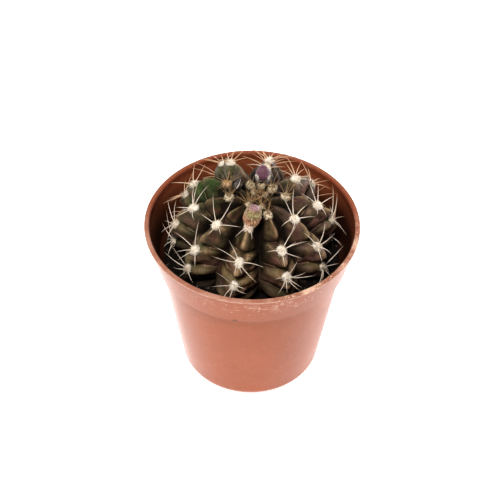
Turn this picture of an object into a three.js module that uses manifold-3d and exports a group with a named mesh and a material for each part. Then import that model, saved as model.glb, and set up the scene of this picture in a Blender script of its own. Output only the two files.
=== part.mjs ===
// A small round cactus with three flower buds, growing in a plastic nursery pot.
// Millimetres, +Z up. The origin is the middle of the pot's foot, on the ground,
// and the side that faces the viewer is -Y.
import * as THREE from 'three';
import { mergeVertices } from 'three/addons/utils/BufferGeometryUtils.js';
import Module from 'manifold-3d';

const wasm = await Module();
wasm.setup();

// Pot
const POT_HEIGHT = 47.5;
const RIM_RADIUS = 27.5;
const RIM_LIP = 1.3;
const RIM_BAND = 0.7;
const WALL = 1.2;
const COLLAR_HEIGHT = 10.2;
const COLLAR_FOOT_RADIUS = 25;
const COLLAR_STEP = 1.1;
const FOOT_RADIUS = 18.7;
const FOOT_ROUNDING = 2.5;
const FOOT_RING_INNER = 14.8;
const FOOT_RECESS = 1;
const DRAIN_COUNT = 6;
const DRAIN_RADIUS = 2.1;
const DRAIN_CIRCLE = 10.5;
const POT_SIDES = 56;

// Soil
const SOIL_LEVEL = 37.5;
const SOIL_LUMP = 0.7;
const SOIL_SIDES = 50;
const CLEARANCE = 0.35;

// Plant body: its crests lie on a rounded shell around its own axis
const SHELL_RADIUS = 20.4;
const SHELL_HALF_HEIGHT = 16.4;
const SHELL_ROUNDNESS = 2.15;
const PLANT_CENTRE = new THREE.Vector3(0.3, 0, 43.2);
const PLANT_LEAN_FORWARD = 9.5;
const PLANT_LEAN_RIGHT = 4;
const ROOT_RADIUS = 4;
const ROOT_END = -25;

// Ribs
const FIRST_RIB_BEARING = 258.5;
const RIB_DEPTH = 6.4;
const RIB_ROUNDNESS = 0.96;
const CROSS_GROOVE = 2.5;
const GROOVE_ABOVE_AREOLE = 8;
const GROOVE_SWEEP = 5;
const CHIN = 0.8;
const CROWN_DIP = 2.2;
const LOWER_AREOLE_STEP = 23;
// One line for each rib, counter-clockwise from the rib that faces the viewer: its turn away
// from even spacing, its areoles' angles down from the crown, and the spine fan of each.
const RIBS = [
  { turn: -2, areoles: [25, 53, 76], fans: [1, 0, 3] },
  { turn: 1, areoles: [15, 44, 68], fans: [4, 1, 2] },
  { turn: 0, areoles: [29, 60, 85], fans: [5, 4, 0] },
  { turn: 1, areoles: [18, 48, 75], fans: [1, 5, 1] },
  { turn: 0, areoles: [12, 38, 71], fans: [0, 2, 4] },
  { turn: 1, areoles: [11, 30, 56], fans: [3, 1, 0] },
  { turn: 3, areoles: [11, 47, 68], fans: [2, 3, 1] },
  { turn: 2, areoles: [24, 61, 83], fans: [0, 5, 2] },
  { turn: -3, areoles: [19, 50, 79], fans: [4, 0, 3] },
  { turn: -5, areoles: [8, 36, 65], fans: [2, 4, 3] },
];
const SIDES_PER_RIB = 8;
const PLANT_SIDES = RIBS.length * SIDES_PER_RIB;
const RING_STEP = 4.4;
const LAST_RIBBED_RING = 116;

// Areoles and spines
const WOOL_WIDTH = 2.3;
const WOOL_LENGTH = 2.7;
const WOOL_HEIGHT = 0.9;
const YOUNG_WOOL_SHARE = 0.9;
const CROWN_WOOL_SHARE = 0.6;
const YOUNG_BELOW = 25;
const CROWN_BELOW = 10;
// Ribs with one more small areole in the sunken crown, at this angle
const CROWN_AREOLES = [1, 4, 6, 9];
const CROWN_AREOLE_ANGLE = 6;
const SPINE_RADIUS = 0.26;
const SPINE_RISE = 32;
// One line for each fan: its spines' bearings round the areole, from straight down
// the rib, with their lengths
const SPINE_FANS = [
  [[-138, 6.8], [-108, 7.2], [-88, 7.1], [102, 7.1], [56, 7.3], [-6, 4], [16, 3]],
  [[133, 8.4], [-107, 5.4], [94, 7.5], [104, 4], [-29, 5.5], [37, 6.4]],
  [[133, 6.1], [-117, 5.3], [-64, 5.6], [-28, 3.9], [21, 4.2], [41, 5.1], [78, 7.1], [101, 5.8]],
  [[-145, 7.8], [-98, 6.6], [123, 3.4], [72, 4.4], [-7, 4.4], [-49, 4.6]],
  [[-165, 8], [-124, 7.5], [120, 6.8], [-60, 5.6], [21, 4], [74, 5]],
  [[176, 6.7], [134, 7.3], [92, 5.6], [-120, 6.4], [-70, 5.2], [36, 5.8]],
];
const YOUNG_SPINES = 4;
const YOUNG_SPINE_LENGTH = 4.8;
const YOUNG_SPINE_RISE = 66;
const SPINE_WALL_GAP = 0.7;
const SPINE_SOIL_GAP = 0.6;
const SPINE_PLAN_LIMIT = 26.6;

// Flower buds: where each one's foot sits on the plant, its size, and its lean
// away from upright toward the viewer and to the right
const BUDS = [
  { name: 'flower_bud_front', rib: 0, down: 20, width: 3.9, height: 6.7, forward: 7, right: 10, colour: 0xa8917c },
  { name: 'flower_bud_back', rib: 5, down: 14, width: 3.3, height: 5.9, forward: -6, right: 2, colour: 0x6d4a5e },
  { name: 'flower_bud_small', rib: 7, down: 16, width: 1.5, height: 3.8, forward: 0, right: 16, colour: 0x4a3d42 },
];
const BUD_SIDES = 25;
const BUD_RINGS = 14;
const BUD_SINK = 0.9;
const SCALE_ROWS = 5;
const SCALES_PER_ROW = 5;
const SCALE_THICKNESS = 0.13;

// Vertices that a boolean leaves closer than this become one
const MERGE_GRID = 0.012;

const degrees = THREE.MathUtils.degToRad;

// Random numbers from a seed, the same on each run
function randomFrom(seed) {
  let state = seed;
  return () => {
    state = (state + 0x6d2b79f5) | 0;
    let t = Math.imul(state ^ (state >>> 15), 1 | state);
    t = (t + Math.imul(t ^ (t >>> 7), 61 | t)) ^ t;
    return ((t ^ (t >>> 14)) >>> 0) / 4294967296;
  };
}

function smoothstep(from, to, value) {
  const t = THREE.MathUtils.clamp((value - from) / (to - from), 0, 1);
  return t * t * (3 - 2 * t);
}

// Closed surface through rings of points round an axis, with one point at each end
function ringSurface(rings, sides, pointAt) {
  const positions = [];
  const index = [];
  const vertex = (ring, side) => {
    if (ring === 0) return 0;
    if (ring === rings) return 1 + (rings - 1) * sides;
    return 1 + (ring - 1) * sides + (side % sides);
  };
  positions.push(...pointAt(0, 0).toArray());
  for (let ring = 1; ring < rings; ring += 1) {
    for (let side = 0; side < sides; side += 1) positions.push(...pointAt(ring, side).toArray());
  }
  positions.push(...pointAt(rings, 0).toArray());
  for (let ring = 0; ring < rings; ring += 1) {
    for (let side = 0; side < sides; side += 1) {
      const a = vertex(ring, side);
      const b = vertex(ring + 1, side);
      const c = vertex(ring + 1, side + 1);
      const d = vertex(ring, side + 1);
      if (ring < rings - 1) index.push(a, b, c);
      else index.push(a, b, d);
      if (ring > 0 && ring < rings - 1) index.push(a, c, d);
    }
  }
  const geometry = new THREE.BufferGeometry();
  geometry.setAttribute('position', new THREE.Float32BufferAttribute(positions, 3));
  geometry.setIndex(index);
  return geometry;
}

// Position-only copy of a geometry with vertices closer than the grid merged, and
// without the triangles that this empties or lays face to face on each other
function weld(geometry, grid = 1e-4) {
  const bare = geometry.clone();
  bare.deleteAttribute('normal');
  bare.deleteAttribute('uv');
  const merged = mergeVertices(bare, grid);
  const source = merged.index.array;
  const kept = new Map();
  for (let i = 0; i < source.length; i += 3) {
    const corners = [source[i], source[i + 1], source[i + 2]];
    const key = [...corners].sort((a, b) => a - b).join();
    if (new Set(corners).size < 3) continue;
    if (kept.has(key)) kept.delete(key);
    else kept.set(key, corners);
  }
  merged.setIndex([...kept.values()].flat());
  return merged;
}

function toSolid(geometry) {
  const welded = weld(geometry);
  return new wasm.Manifold(new wasm.Mesh({
    numProp: 3,
    vertProperties: new Float32Array(welded.attributes.position.array),
    triVerts: new Uint32Array(welded.index.array),
  }));
}

function toGeometry(solid) {
  const mesh = solid.getMesh();
  const geometry = new THREE.BufferGeometry();
  geometry.setAttribute('position', new THREE.BufferAttribute(mesh.vertProperties, 3));
  geometry.setIndex(new THREE.BufferAttribute(mesh.triVerts, 1));
  return weld(geometry, MERGE_GRID);
}

// The largest body of a solid, without scraps that a cut leaves loose
function largestBody(solid) {
  return solid.decompose().reduce((best, body) => (body.volume() > best.volume() ? body : best));
}

function piece(name, geometry, colour, roughness) {
  const material = new THREE.MeshStandardMaterial({ color: colour, roughness, metalness: 0 });
  geometry.computeVertexNormals();
  const mesh = new THREE.Mesh(geometry, material);
  mesh.name = name;
  return mesh;
}

// Pot

const COLLAR_BOTTOM = POT_HEIGHT - COLLAR_HEIGHT;
const BODY_TOP_RADIUS = COLLAR_FOOT_RADIUS - COLLAR_STEP;
const FLOOR_TOP = FOOT_RECESS + WALL;

// Inner radius of the pot's wall at a height
function potInnerRadius(z) {
  const along = (z, z0, r0, z1, r1) => r0 + ((r1 - r0) * (z - z0)) / (z1 - z0);
  if (z >= COLLAR_BOTTOM) {
    return along(z, COLLAR_BOTTOM, COLLAR_FOOT_RADIUS - WALL, POT_HEIGHT, RIM_RADIUS - RIM_LIP);
  }
  return along(z, FOOT_ROUNDING, FOOT_RADIUS - WALL, COLLAR_BOTTOM, BODY_TOP_RADIUS - WALL);
}

function potProfile() {
  const profile = new THREE.Path();
  profile.moveTo(0, FOOT_RECESS);
  profile.lineTo(FOOT_RING_INNER - 0.4, FOOT_RECESS);
  profile.lineTo(FOOT_RING_INNER, 0);
  profile.lineTo(FOOT_RADIUS - FOOT_ROUNDING, 0);
  profile.quadraticCurveTo(FOOT_RADIUS, 0, FOOT_RADIUS + 0.1, FOOT_ROUNDING);
  profile.lineTo(BODY_TOP_RADIUS, COLLAR_BOTTOM);
  profile.lineTo(COLLAR_FOOT_RADIUS, COLLAR_BOTTOM + 0.3);
  profile.lineTo(RIM_RADIUS - 0.35, POT_HEIGHT - RIM_BAND - 0.4);
  profile.lineTo(RIM_RADIUS, POT_HEIGHT - RIM_BAND);
  profile.quadraticCurveTo(RIM_RADIUS, POT_HEIGHT, RIM_RADIUS - 0.5 * RIM_LIP, POT_HEIGHT);
  profile.lineTo(potInnerRadius(POT_HEIGHT), POT_HEIGHT - 0.5);
  profile.lineTo(potInnerRadius(COLLAR_BOTTOM), COLLAR_BOTTOM);
  profile.lineTo(potInnerRadius(COLLAR_BOTTOM - 0.4), COLLAR_BOTTOM - 0.4);
  profile.lineTo(potInnerRadius(FLOOR_TOP + 1.5), FLOOR_TOP + 1.5);
  profile.lineTo(potInnerRadius(FLOOR_TOP) - 1.5, FLOOR_TOP);
  profile.lineTo(0, FLOOR_TOP);
  return profile.getPoints(3);
}

function pot() {
  let solid = toSolid(new THREE.LatheGeometry(potProfile(), POT_SIDES).rotateX(Math.PI / 2));
  for (let i = 0; i < DRAIN_COUNT; i += 1) {
    const angle = (2 * Math.PI * (i + 0.5)) / DRAIN_COUNT;
    const drain = new THREE.CylinderGeometry(DRAIN_RADIUS, DRAIN_RADIUS, 4 * WALL, 12).rotateX(Math.PI / 2);
    drain.translate(DRAIN_CIRCLE * Math.cos(angle), DRAIN_CIRCLE * Math.sin(angle), FLOOR_TOP);
    solid = solid.subtract(toSolid(drain));
  }
  return toGeometry(solid);
}

// Plant body

const LEAN = new THREE.Matrix4()
  .makeRotationY(degrees(PLANT_LEAN_RIGHT))
  .multiply(new THREE.Matrix4().makeRotationX(degrees(PLANT_LEAN_FORWARD)));
const PLANT_TO_POT = LEAN.clone().setPosition(PLANT_CENTRE);

function ribBearing(rib) {
  return degrees(FIRST_RIB_BEARING + (360 / RIBS.length) * rib + RIBS[rib].turn);
}

// Point of the smooth shell, in the plant's own frame
function shellPoint(down, bearing, outward = 0) {
  const power = 2 / SHELL_ROUNDNESS;
  const angle = degrees(down);
  const radius = (SHELL_RADIUS + outward) * Math.abs(Math.sin(angle)) ** power;
  const cosine = Math.cos(angle);
  const height = (SHELL_HALF_HEIGHT + outward) * Math.sign(cosine) * Math.abs(cosine) ** power;
  return new THREE.Vector3(radius * Math.cos(bearing), radius * Math.sin(bearing), height);
}

// Outward direction of the shell
function shellNormal(down, bearing) {
  const p = shellPoint(down, 0);
  const power = SHELL_ROUNDNESS - 1;
  const across = (Math.abs(p.x) / SHELL_RADIUS) ** power / SHELL_RADIUS;
  const up = (Math.sign(p.z) * (Math.abs(p.z) / SHELL_HALF_HEIGHT) ** power) / SHELL_HALF_HEIGHT;
  return new THREE.Vector3(across * Math.cos(bearing), across * Math.sin(bearing), up).normalize();
}

// Areoles of a rib, with more of them by rule below the last one that is given
function areoleAngles(rib) {
  const angles = [...RIBS[rib].areoles];
  while (angles.at(-1) < 130) angles.push(angles.at(-1) + LOWER_AREOLE_STEP);
  return angles;
}

// How deep the surface lies under the shell, across a rib (-1 to 1) and down it
function depthUnderShell(rib, across, down) {
  const edge = Math.abs(across);
  const round = 1 - Math.sqrt(1 - RIB_ROUNDNESS * edge * edge);
  const valley = 0.65 * edge ** 1.4 + 0.35 * round;
  const valleyDepth = RIB_DEPTH * (0.42 + 0.58 * smoothstep(10, 45, down)) * smoothstep(1, 12, down);
  const fade = 1 - smoothstep(100, 130, down);
  const angles = areoleAngles(rib);
  // The grooves sweep up from the crest to the valleys
  const level = down + GROOVE_SWEEP * edge ** 1.5 * smoothstep(15, 40, down);
  let cell = 0;
  while (cell < angles.length - 2 && level > angles[cell + 1] - GROOVE_ABOVE_AREOLE) cell += 1;
  const top = cell === 0 ? 0 : angles[cell] - GROOVE_ABOVE_AREOLE;
  const bottom = angles[cell + 1] - GROOVE_ABOVE_AREOLE;
  const along = THREE.MathUtils.clamp((level - top) / (bottom - top), 0, 1);
  // The crest stays high down to its chin, and the flanks have a shoulder at the areole's height
  const flank = smoothstep(0.1, 0.5, edge);
  const swell = 1 - Math.abs(2 * along ** (1.25 - 0.65 * flank) - 1) ** (5 - 2.5 * flank);
  const groove = CROSS_GROOVE * (1 - swell) * (1 - edge ** 4) * smoothstep(8, 45, down);
  const chin = CHIN * Math.exp(-(((along - 0.78) / 0.15) ** 2)) * Math.exp(-((across / 0.25) ** 2));
  const dip = CROWN_DIP * Math.exp(-((down / 10) ** 2));
  return (valley * valleyDepth + groove - chin * smoothstep(10, 30, down)) * fade + dip;
}

// Point of the ribbed surface, in the plant's own frame
function plantPoint(rib, across, down) {
  const half = Math.PI / RIBS.length;
  const next = (rib + 1) % RIBS.length;
  const last = (rib + RIBS.length - 1) % RIBS.length;
  const here = ribBearing(rib);
  const turnTo = (other) => degrees(RIBS[other].turn - RIBS[rib].turn) / 2;
  const reach = across >= 0 ? half + turnTo(next) : half - turnTo(last);
  const bearing = here + across * reach;
  const point = shellPoint(down, bearing);
  return point.addScaledVector(shellNormal(down, bearing), -depthUnderShell(rib, across, down));
}

function plantRings() {
  const rings = [];
  for (let down = 5; down <= LAST_RIBBED_RING; down += RING_STEP) rings.push(down);
  rings.push(126, 142, 160);
  return rings;
}

function plantBody() {
  const rings = plantRings();
  const neck = [
    [ROOT_RADIUS, -SHELL_HALF_HEIGHT - 1],
    [0.7 * ROOT_RADIUS, 0.8 * ROOT_END],
  ];
  const last = rings.length + neck.length + 1;
  return ringSurface(last, PLANT_SIDES, (ring, side) => {
    if (ring === 0) return plantPoint(0, 0, 0);
    if (ring === last) return new THREE.Vector3(0, 0, ROOT_END);
    const rib = Math.floor(side / SIDES_PER_RIB);
    const across = (2 * (side % SIDES_PER_RIB)) / SIDES_PER_RIB - 1;
    if (ring <= rings.length) return plantPoint(rib, across, rings[ring - 1]);
    const [radius, z] = neck[ring - rings.length - 1];
    const bearing = Math.atan2(plantPoint(rib, across, 90).y, plantPoint(rib, across, 90).x);
    return new THREE.Vector3(radius * Math.cos(bearing), radius * Math.sin(bearing), z);
  });
}

// Where an areole or bud sits: its point and directions in the pot's frame
function seatOn(rib, down) {
  const at = plantPoint(rib, 0, down);
  const lower = plantPoint(rib, 0, down + 4);
  const upper = plantPoint(rib, 0, down - 4);
  const downhill = lower.sub(upper).normalize();
  const bearing = ribBearing(rib);
  const sideways = new THREE.Vector3(-Math.sin(bearing), Math.cos(bearing), 0);
  const outward = downhill.clone().cross(sideways).normalize();
  const turn = (v) => v.applyMatrix4(LEAN);
  return {
    at: at.applyMatrix4(PLANT_TO_POT),
    downhill: turn(downhill),
    sideways: turn(sideways),
    outward: turn(outward),
    fan: SPINE_FANS[RIBS[rib].fans.at(RIBS[rib].areoles.indexOf(down))],
    down,
  };
}

function areoles() {
  const seats = [];
  RIBS.forEach((_, rib) => {
    for (const down of areoleAngles(rib)) {
      const seat = seatOn(rib, down);
      if (seat.at.z > SOIL_LEVEL + 1.2) seats.push(seat);
    }
  });
  for (const rib of CROWN_AREOLES) seats.push(seatOn(rib, CROWN_AREOLE_ANGLE));
  return seats;
}

// Size of a cushion against a grown one: small in the crown, and a little smaller around it
function woolShare(down) {
  if (down < CROWN_BELOW) return CROWN_WOOL_SHARE;
  return down < YOUNG_BELOW ? YOUNG_WOOL_SHARE : 1;
}

function woolCushion(seat) {
  const share = woolShare(seat.down);
  const cushion = new THREE.SphereGeometry(1, 6, 4);
  const frame = new THREE.Matrix4().makeBasis(
    seat.downhill.clone().multiplyScalar(0.5 * WOOL_LENGTH * share),
    seat.sideways.clone().multiplyScalar(0.5 * WOOL_WIDTH * share),
    seat.outward.clone().multiplyScalar(WOOL_HEIGHT),
  );
  frame.setPosition(seat.at);
  return cushion.rotateX(Math.PI / 2).applyMatrix4(frame);
}

// Spines

// Moves a point of a spine clear of the pot's wall and the soil
function clearOfPot(point) {
  const plan = Math.hypot(point.x, point.y);
  const wall = point.z < POT_HEIGHT + 0.5 ? potInnerRadius(point.z) - SPINE_WALL_GAP : SPINE_PLAN_LIMIT;
  const shrink = Math.min(1, Math.min(wall, SPINE_PLAN_LIMIT) / plan);
  const floor = SOIL_LEVEL + SOIL_LUMP + SPINE_SOIL_GAP;
  return new THREE.Vector3(point.x * shrink, point.y * shrink, Math.max(point.z, floor));
}

function spinePath(seat, bearing, rise, length) {
  const angle = degrees(bearing);
  const lift = degrees(rise);
  const aim = seat.downhill.clone().multiplyScalar(Math.cos(angle));
  aim.addScaledVector(seat.sideways, Math.sin(angle)).multiplyScalar(Math.cos(lift));
  aim.addScaledVector(seat.outward, Math.sin(lift));
  return [seat.at.clone(), clearOfPot(seat.at.clone().addScaledVector(aim, length))];
}

// Three-sided needle from its root to its tip
function needle([root, tip]) {
  const along = tip.clone().sub(root).normalize();
  const side = new THREE.Vector3(0.31, 0.53, 0.79).cross(along).normalize();
  const other = along.clone().cross(side);
  return ringSurface(2, 3, (ring, i) => {
    if (ring !== 1) return ring === 0 ? tip : root;
    const angle = (2 * Math.PI * i) / 3;
    const corner = root.clone().addScaledVector(side, SPINE_RADIUS * Math.cos(angle));
    return corner.addScaledVector(other, SPINE_RADIUS * Math.sin(angle));
  });
}

function spinesOf(seat, random) {
  const paths = [];
  const jitter = (reach) => (2 * random() - 1) * reach;
  if (seat.down < YOUNG_BELOW) {
    for (let i = 0; i < YOUNG_SPINES; i += 1) {
      const bearing = (360 / YOUNG_SPINES) * (i + 0.5) + jitter(35);
      paths.push(spinePath(seat, bearing, YOUNG_SPINE_RISE + jitter(14), YOUNG_SPINE_LENGTH * (1 + jitter(0.25))));
    }
    return paths;
  }
  for (const [bearing, length] of seat.fan) {
    paths.push(spinePath(seat, bearing + jitter(9), SPINE_RISE + jitter(9), length * (1 + jitter(0.12))));
  }
  return paths;
}

// Flower buds

function budFrame(bud) {
  const seat = seatOn(bud.rib, bud.down);
  const turn = new THREE.Matrix4().makeRotationY(degrees(bud.right));
  turn.multiply(new THREE.Matrix4().makeRotationX(degrees(bud.forward)));
  return turn.setPosition(seat.at.addScaledVector(seat.outward, -BUD_SINK));
}

// Radius of a bud at a height share from its foot, with its overlapping scales
function budRadius(bud, share, bearing) {
  const body = 0.5 * bud.width * Math.sin(Math.PI * (0.16 + 0.84 * share)) ** 0.62;
  let scales = 0;
  for (let row = 0; row < SCALE_ROWS; row += 1) {
    const phase = (SCALES_PER_ROW * bearing) / (2 * Math.PI) + row / 2;
    const fromTip = Math.abs(2 * (phase - Math.floor(phase)) - 1);
    const edge = 0.28 + (0.62 * row) / (SCALE_ROWS - 1) - 0.16 * fromTip ** 1.6;
    scales += SCALE_THICKNESS * smoothstep(-0.03, 0.03, edge - share);
  }
  return body - SCALE_ROWS * SCALE_THICKNESS * 0.5 * (1 - share) + scales;
}

function budShape(bud, outward = 0) {
  const shape = ringSurface(BUD_RINGS, BUD_SIDES, (ring, side) => {
    const share = 1 - ring / BUD_RINGS;
    const bearing = (2 * Math.PI * side) / BUD_SIDES;
    const atEnd = ring === 0 || ring === BUD_RINGS;
    const radius = atEnd ? 0 : budRadius(bud, share, bearing) + outward;
    const z = ring === BUD_RINGS ? -outward : share * bud.height + outward * (2 * share - 1);
    return new THREE.Vector3(radius * Math.cos(bearing), radius * Math.sin(bearing), z);
  });
  return shape.applyMatrix4(budFrame(bud));
}

// True where a spine stays clear of every bud
function missesBuds([root, tip]) {
  return BUDS.every((bud) => {
    const inverse = budFrame(bud).invert();
    return [0.25, 0.5, 0.75, 1].every((share) => {
      const p = root.clone().lerp(tip, share).applyMatrix4(inverse);
      const across = Math.hypot(p.x, p.y) / (0.5 * bud.width + 0.8);
      const up = (p.z - 0.5 * bud.height) / (0.5 * bud.height + 0.8);
      return Math.hypot(across, up) > 1;
    });
  });
}

function cactus() {
  const random = randomFrom(20);
  let solid = toSolid(plantBody().applyMatrix4(PLANT_TO_POT));
  for (const seat of areoles()) {
    solid = solid.add(toSolid(woolCushion(seat)));
    for (const path of spinesOf(seat, random)) {
      if (missesBuds(path)) solid = solid.add(toSolid(needle(path)));
    }
  }
  for (const bud of BUDS) solid = solid.subtract(toSolid(budShape(bud, CLEARANCE)));
  return toGeometry(largestBody(solid));
}

// Soil

// A hollow in the soil, plain and round, for the plant to stand in
function plantHollow() {
  const rings = 18;
  const hollow = ringSurface(rings, SOIL_SIDES, (ring, side) => {
    const bearing = (2 * Math.PI * side) / SOIL_SIDES;
    if (ring === rings) return new THREE.Vector3(0, 0, ROOT_END - CLEARANCE);
    if (ring < rings - 2) return shellPoint((160 * ring) / (rings - 3), bearing, CLEARANCE + 0.3);
    const radius = ROOT_RADIUS + CLEARANCE + 0.6;
    const z = ring === rings - 2 ? -SHELL_HALF_HEIGHT - 1.5 : ROOT_END - CLEARANCE;
    return new THREE.Vector3(radius * Math.cos(bearing), radius * Math.sin(bearing), z);
  });
  return hollow.applyMatrix4(PLANT_TO_POT);
}

function soil() {
  const random = randomFrom(7);
  const bottom = FLOOR_TOP + 0.3;
  const reachAt = (z) => potInnerRadius(z) - 0.3;
  const topRadius = reachAt(COLLAR_BOTTOM - 0.4);
  const rings = 6;
  const shape = ringSurface(rings + 3, SOIL_SIDES, (ring, side) => {
    const bearing = (2 * Math.PI * side) / SOIL_SIDES;
    const place = (radius, z) => new THREE.Vector3(radius * Math.cos(bearing), radius * Math.sin(bearing), z);
    if (ring === 0) return place(0, SOIL_LEVEL);
    if (ring < rings) {
      const radius = 17 + ((topRadius - 17) * (ring - 1)) / (rings - 2);
      return place(radius, SOIL_LEVEL - 0.4 + SOIL_LUMP * random());
    }
    if (ring === rings) return place(reachAt(COLLAR_BOTTOM - 1), COLLAR_BOTTOM - 1);
    if (ring === rings + 1) return place(reachAt(FLOOR_TOP + 2), FLOOR_TOP + 2);
    if (ring === rings + 2) return place(reachAt(FLOOR_TOP) - 1.6, bottom);
    return place(0, bottom);
  });
  return toGeometry(largestBody(toSolid(shape).subtract(toSolid(plantHollow()))));
}

const plantInPot = new THREE.Group();
plantInPot.add(piece('pot', pot(), 0xc57a60, 0.45));
plantInPot.add(piece('soil', soil(), 0x2e211b, 0.95));
plantInPot.add(piece('cactus', cactus(), 0x4f4a38, 0.6));
for (const bud of BUDS) plantInPot.add(piece(bud.name, weld(budShape(bud)), bud.colour, 0.55));

export default plantInPot;
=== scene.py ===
import math

import bmesh
import bpy
import numpy as np
from mathutils import Matrix, Vector


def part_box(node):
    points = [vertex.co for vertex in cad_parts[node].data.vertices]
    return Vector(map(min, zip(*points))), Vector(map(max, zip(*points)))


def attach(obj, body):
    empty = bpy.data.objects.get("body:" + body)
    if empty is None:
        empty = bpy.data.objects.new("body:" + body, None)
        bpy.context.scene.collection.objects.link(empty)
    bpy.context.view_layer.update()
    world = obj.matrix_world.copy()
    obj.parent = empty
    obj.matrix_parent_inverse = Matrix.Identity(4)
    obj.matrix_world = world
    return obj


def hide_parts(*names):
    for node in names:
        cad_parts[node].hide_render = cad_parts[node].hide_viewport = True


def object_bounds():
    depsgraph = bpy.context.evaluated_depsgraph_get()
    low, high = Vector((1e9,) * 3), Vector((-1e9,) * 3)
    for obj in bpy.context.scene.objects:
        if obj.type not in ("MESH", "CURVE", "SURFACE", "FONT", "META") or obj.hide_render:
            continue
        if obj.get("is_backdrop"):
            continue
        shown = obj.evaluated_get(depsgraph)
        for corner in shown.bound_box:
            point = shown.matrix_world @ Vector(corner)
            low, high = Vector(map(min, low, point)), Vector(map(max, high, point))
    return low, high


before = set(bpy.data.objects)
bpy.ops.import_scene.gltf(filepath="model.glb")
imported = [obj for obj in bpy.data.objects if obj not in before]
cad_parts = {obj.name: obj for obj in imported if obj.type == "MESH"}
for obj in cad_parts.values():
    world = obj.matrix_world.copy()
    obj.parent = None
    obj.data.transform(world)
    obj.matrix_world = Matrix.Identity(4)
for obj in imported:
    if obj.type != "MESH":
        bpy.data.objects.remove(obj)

bl_info = {
    "name": "Potted round cactus",
    "version": (1, 0, 0),
    "blender": (4, 5, 0),
    "location": "3D View > Sidebar > Cactus",
    "description": "Makes a small ribbed cactus with flower buds, growing in a plastic nursery pot",
    "category": "Add Mesh",
}

MM = 0.001
BODY = "root"

# Sizes that come from the frame
POT_LOW, POT_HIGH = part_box("pot")
RIM_RADIUS = 0.5 * (POT_HIGH[0] - POT_LOW[0])
POT_HEIGHT = POT_HIGH[2]

# Pot, in metres
RIM_LIP = 1.3 * MM
RIM_BAND = 0.7 * MM
WALL = 1.2 * MM
COLLAR_BOTTOM = POT_HEIGHT - 10.2 * MM
COLLAR_FOOT_RADIUS = 25 * MM
BODY_TOP_RADIUS = 23.9 * MM
FOOT_RADIUS = 18.7 * MM
FOOT_ROUNDING = 2.5 * MM
FOOT_RING_INNER = 14.8 * MM
FOOT_RECESS = 1 * MM
FLOOR_TOP = FOOT_RECESS + WALL
DRAIN_COUNT = 6
DRAIN_RADIUS = 2.1 * MM
DRAIN_CIRCLE = 10.5 * MM
POT_SIDES = 192

# Soil
SOIL_LEVEL = 37.5 * MM
SOIL_SIDES = 180
SOIL_LUMP = 0.7 * MM
# The soil's top has few rings as far as the plant covers it, and many out to the wall
COVERED_RADII = np.linspace(3 * MM, 12 * MM, 4)
OPEN_SOIL_RADIUS = 12.4 * MM
OPEN_SOIL_RINGS = 46
CRUMBS_FROM_RADIUS = 13 * MM
LOWEST_CRUMB = SOIL_LEVEL - 1.6 * MM
CRUMB_SEED = 4

# Plant body: its crests lie on a rounded shell around its own axis
SHELL_RADIUS = 20.4 * MM
SHELL_HALF_HEIGHT = 16.4 * MM
SHELL_ROUNDNESS = 2.15
PLANT_CENTRE = Vector((0.3, 0, 43.2)) * MM
PLANT_LEAN_FORWARD = math.radians(9.5)
PLANT_LEAN_RIGHT = math.radians(4)
ROOT_RADIUS = 4 * MM
ROOT_END = -25 * MM
# Radius and height of each ring of the neck, down from the last ring of the ribs
NECK = (
    (9 * MM, -15.2 * MM), (ROOT_RADIUS, -SHELL_HALF_HEIGHT - 1 * MM),
    (0.7 * ROOT_RADIUS, 0.8 * ROOT_END),
)

# Ribs
FIRST_RIB_BEARING = 258.5
RIB_DEPTH = 6.4 * MM
RIB_ROUNDNESS = 0.96
CROSS_GROOVE = 2.5 * MM
GROOVE_ABOVE_AREOLE = 8
GROOVE_SWEEP = 5
CHIN = 0.8 * MM
CROWN_DIP = 2.2 * MM
LOWER_AREOLE_STEP = 23
# One entry for each rib, counter-clockwise from the rib that faces the viewer: its turn away
# from even spacing, its areoles' angles down from the crown, and the spine fan of each
RIBS = (
    (-2, (25, 53, 76), (1, 0, 3)),
    (1, (15, 44, 68), (4, 1, 2)),
    (0, (29, 60, 85), (5, 4, 0)),
    (1, (18, 48, 75), (1, 5, 1)),
    (0, (12, 38, 71), (0, 2, 4)),
    (1, (11, 30, 56), (3, 1, 0)),
    (3, (11, 47, 68), (2, 3, 1)),
    (2, (24, 61, 83), (0, 5, 2)),
    (-3, (19, 50, 79), (4, 0, 3)),
    (-5, (8, 36, 65), (2, 4, 3)),
)
RIB_COUNT = len(RIBS)
# The chin that would hide the wool behind the back bud: its rib, its angle and how much lower it is
LOW_CHIN = (5, 45, 1.3 * MM)
# The low areole that the pot's rim hides: its rib, its angle and how much further down it lies
LOW_AREOLE = (1, 91, 1.2 * MM)
COLUMNS_PER_RIB = 40
PLANT_RINGS = 180
FIRST_RING_ANGLE = 1.2
LAST_RIBBED_ANGLE = 130
RELIEF_RANGE = 1.4 * MM
# Each tubercle's tone is one of a rib's random numbers
TONES_PER_RIB = 8
TONE_SEED = 5

# Areoles and spines
WOOL_WIDTH = 2.3 * MM
WOOL_LENGTH = 2.7 * MM
WOOL_HEIGHT = 0.9 * MM
YOUNG_WOOL_SHARE = 0.9
CROWN_WOOL_SHARE = 0.6
CUSHION_RINGS = 10
CUSHION_SIDES = 20
FIBRE_THICKNESS = 0.03 * MM
FIBRE_SEED = 2
CROWN_BELOW = 10
YOUNG_BELOW = 25
# Ribs with one more small areole in the sunken crown, at this angle
CROWN_AREOLES = (1, 4, 6, 9)
CROWN_AREOLE_ANGLE = 6
SPINE_RISE = 32
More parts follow.
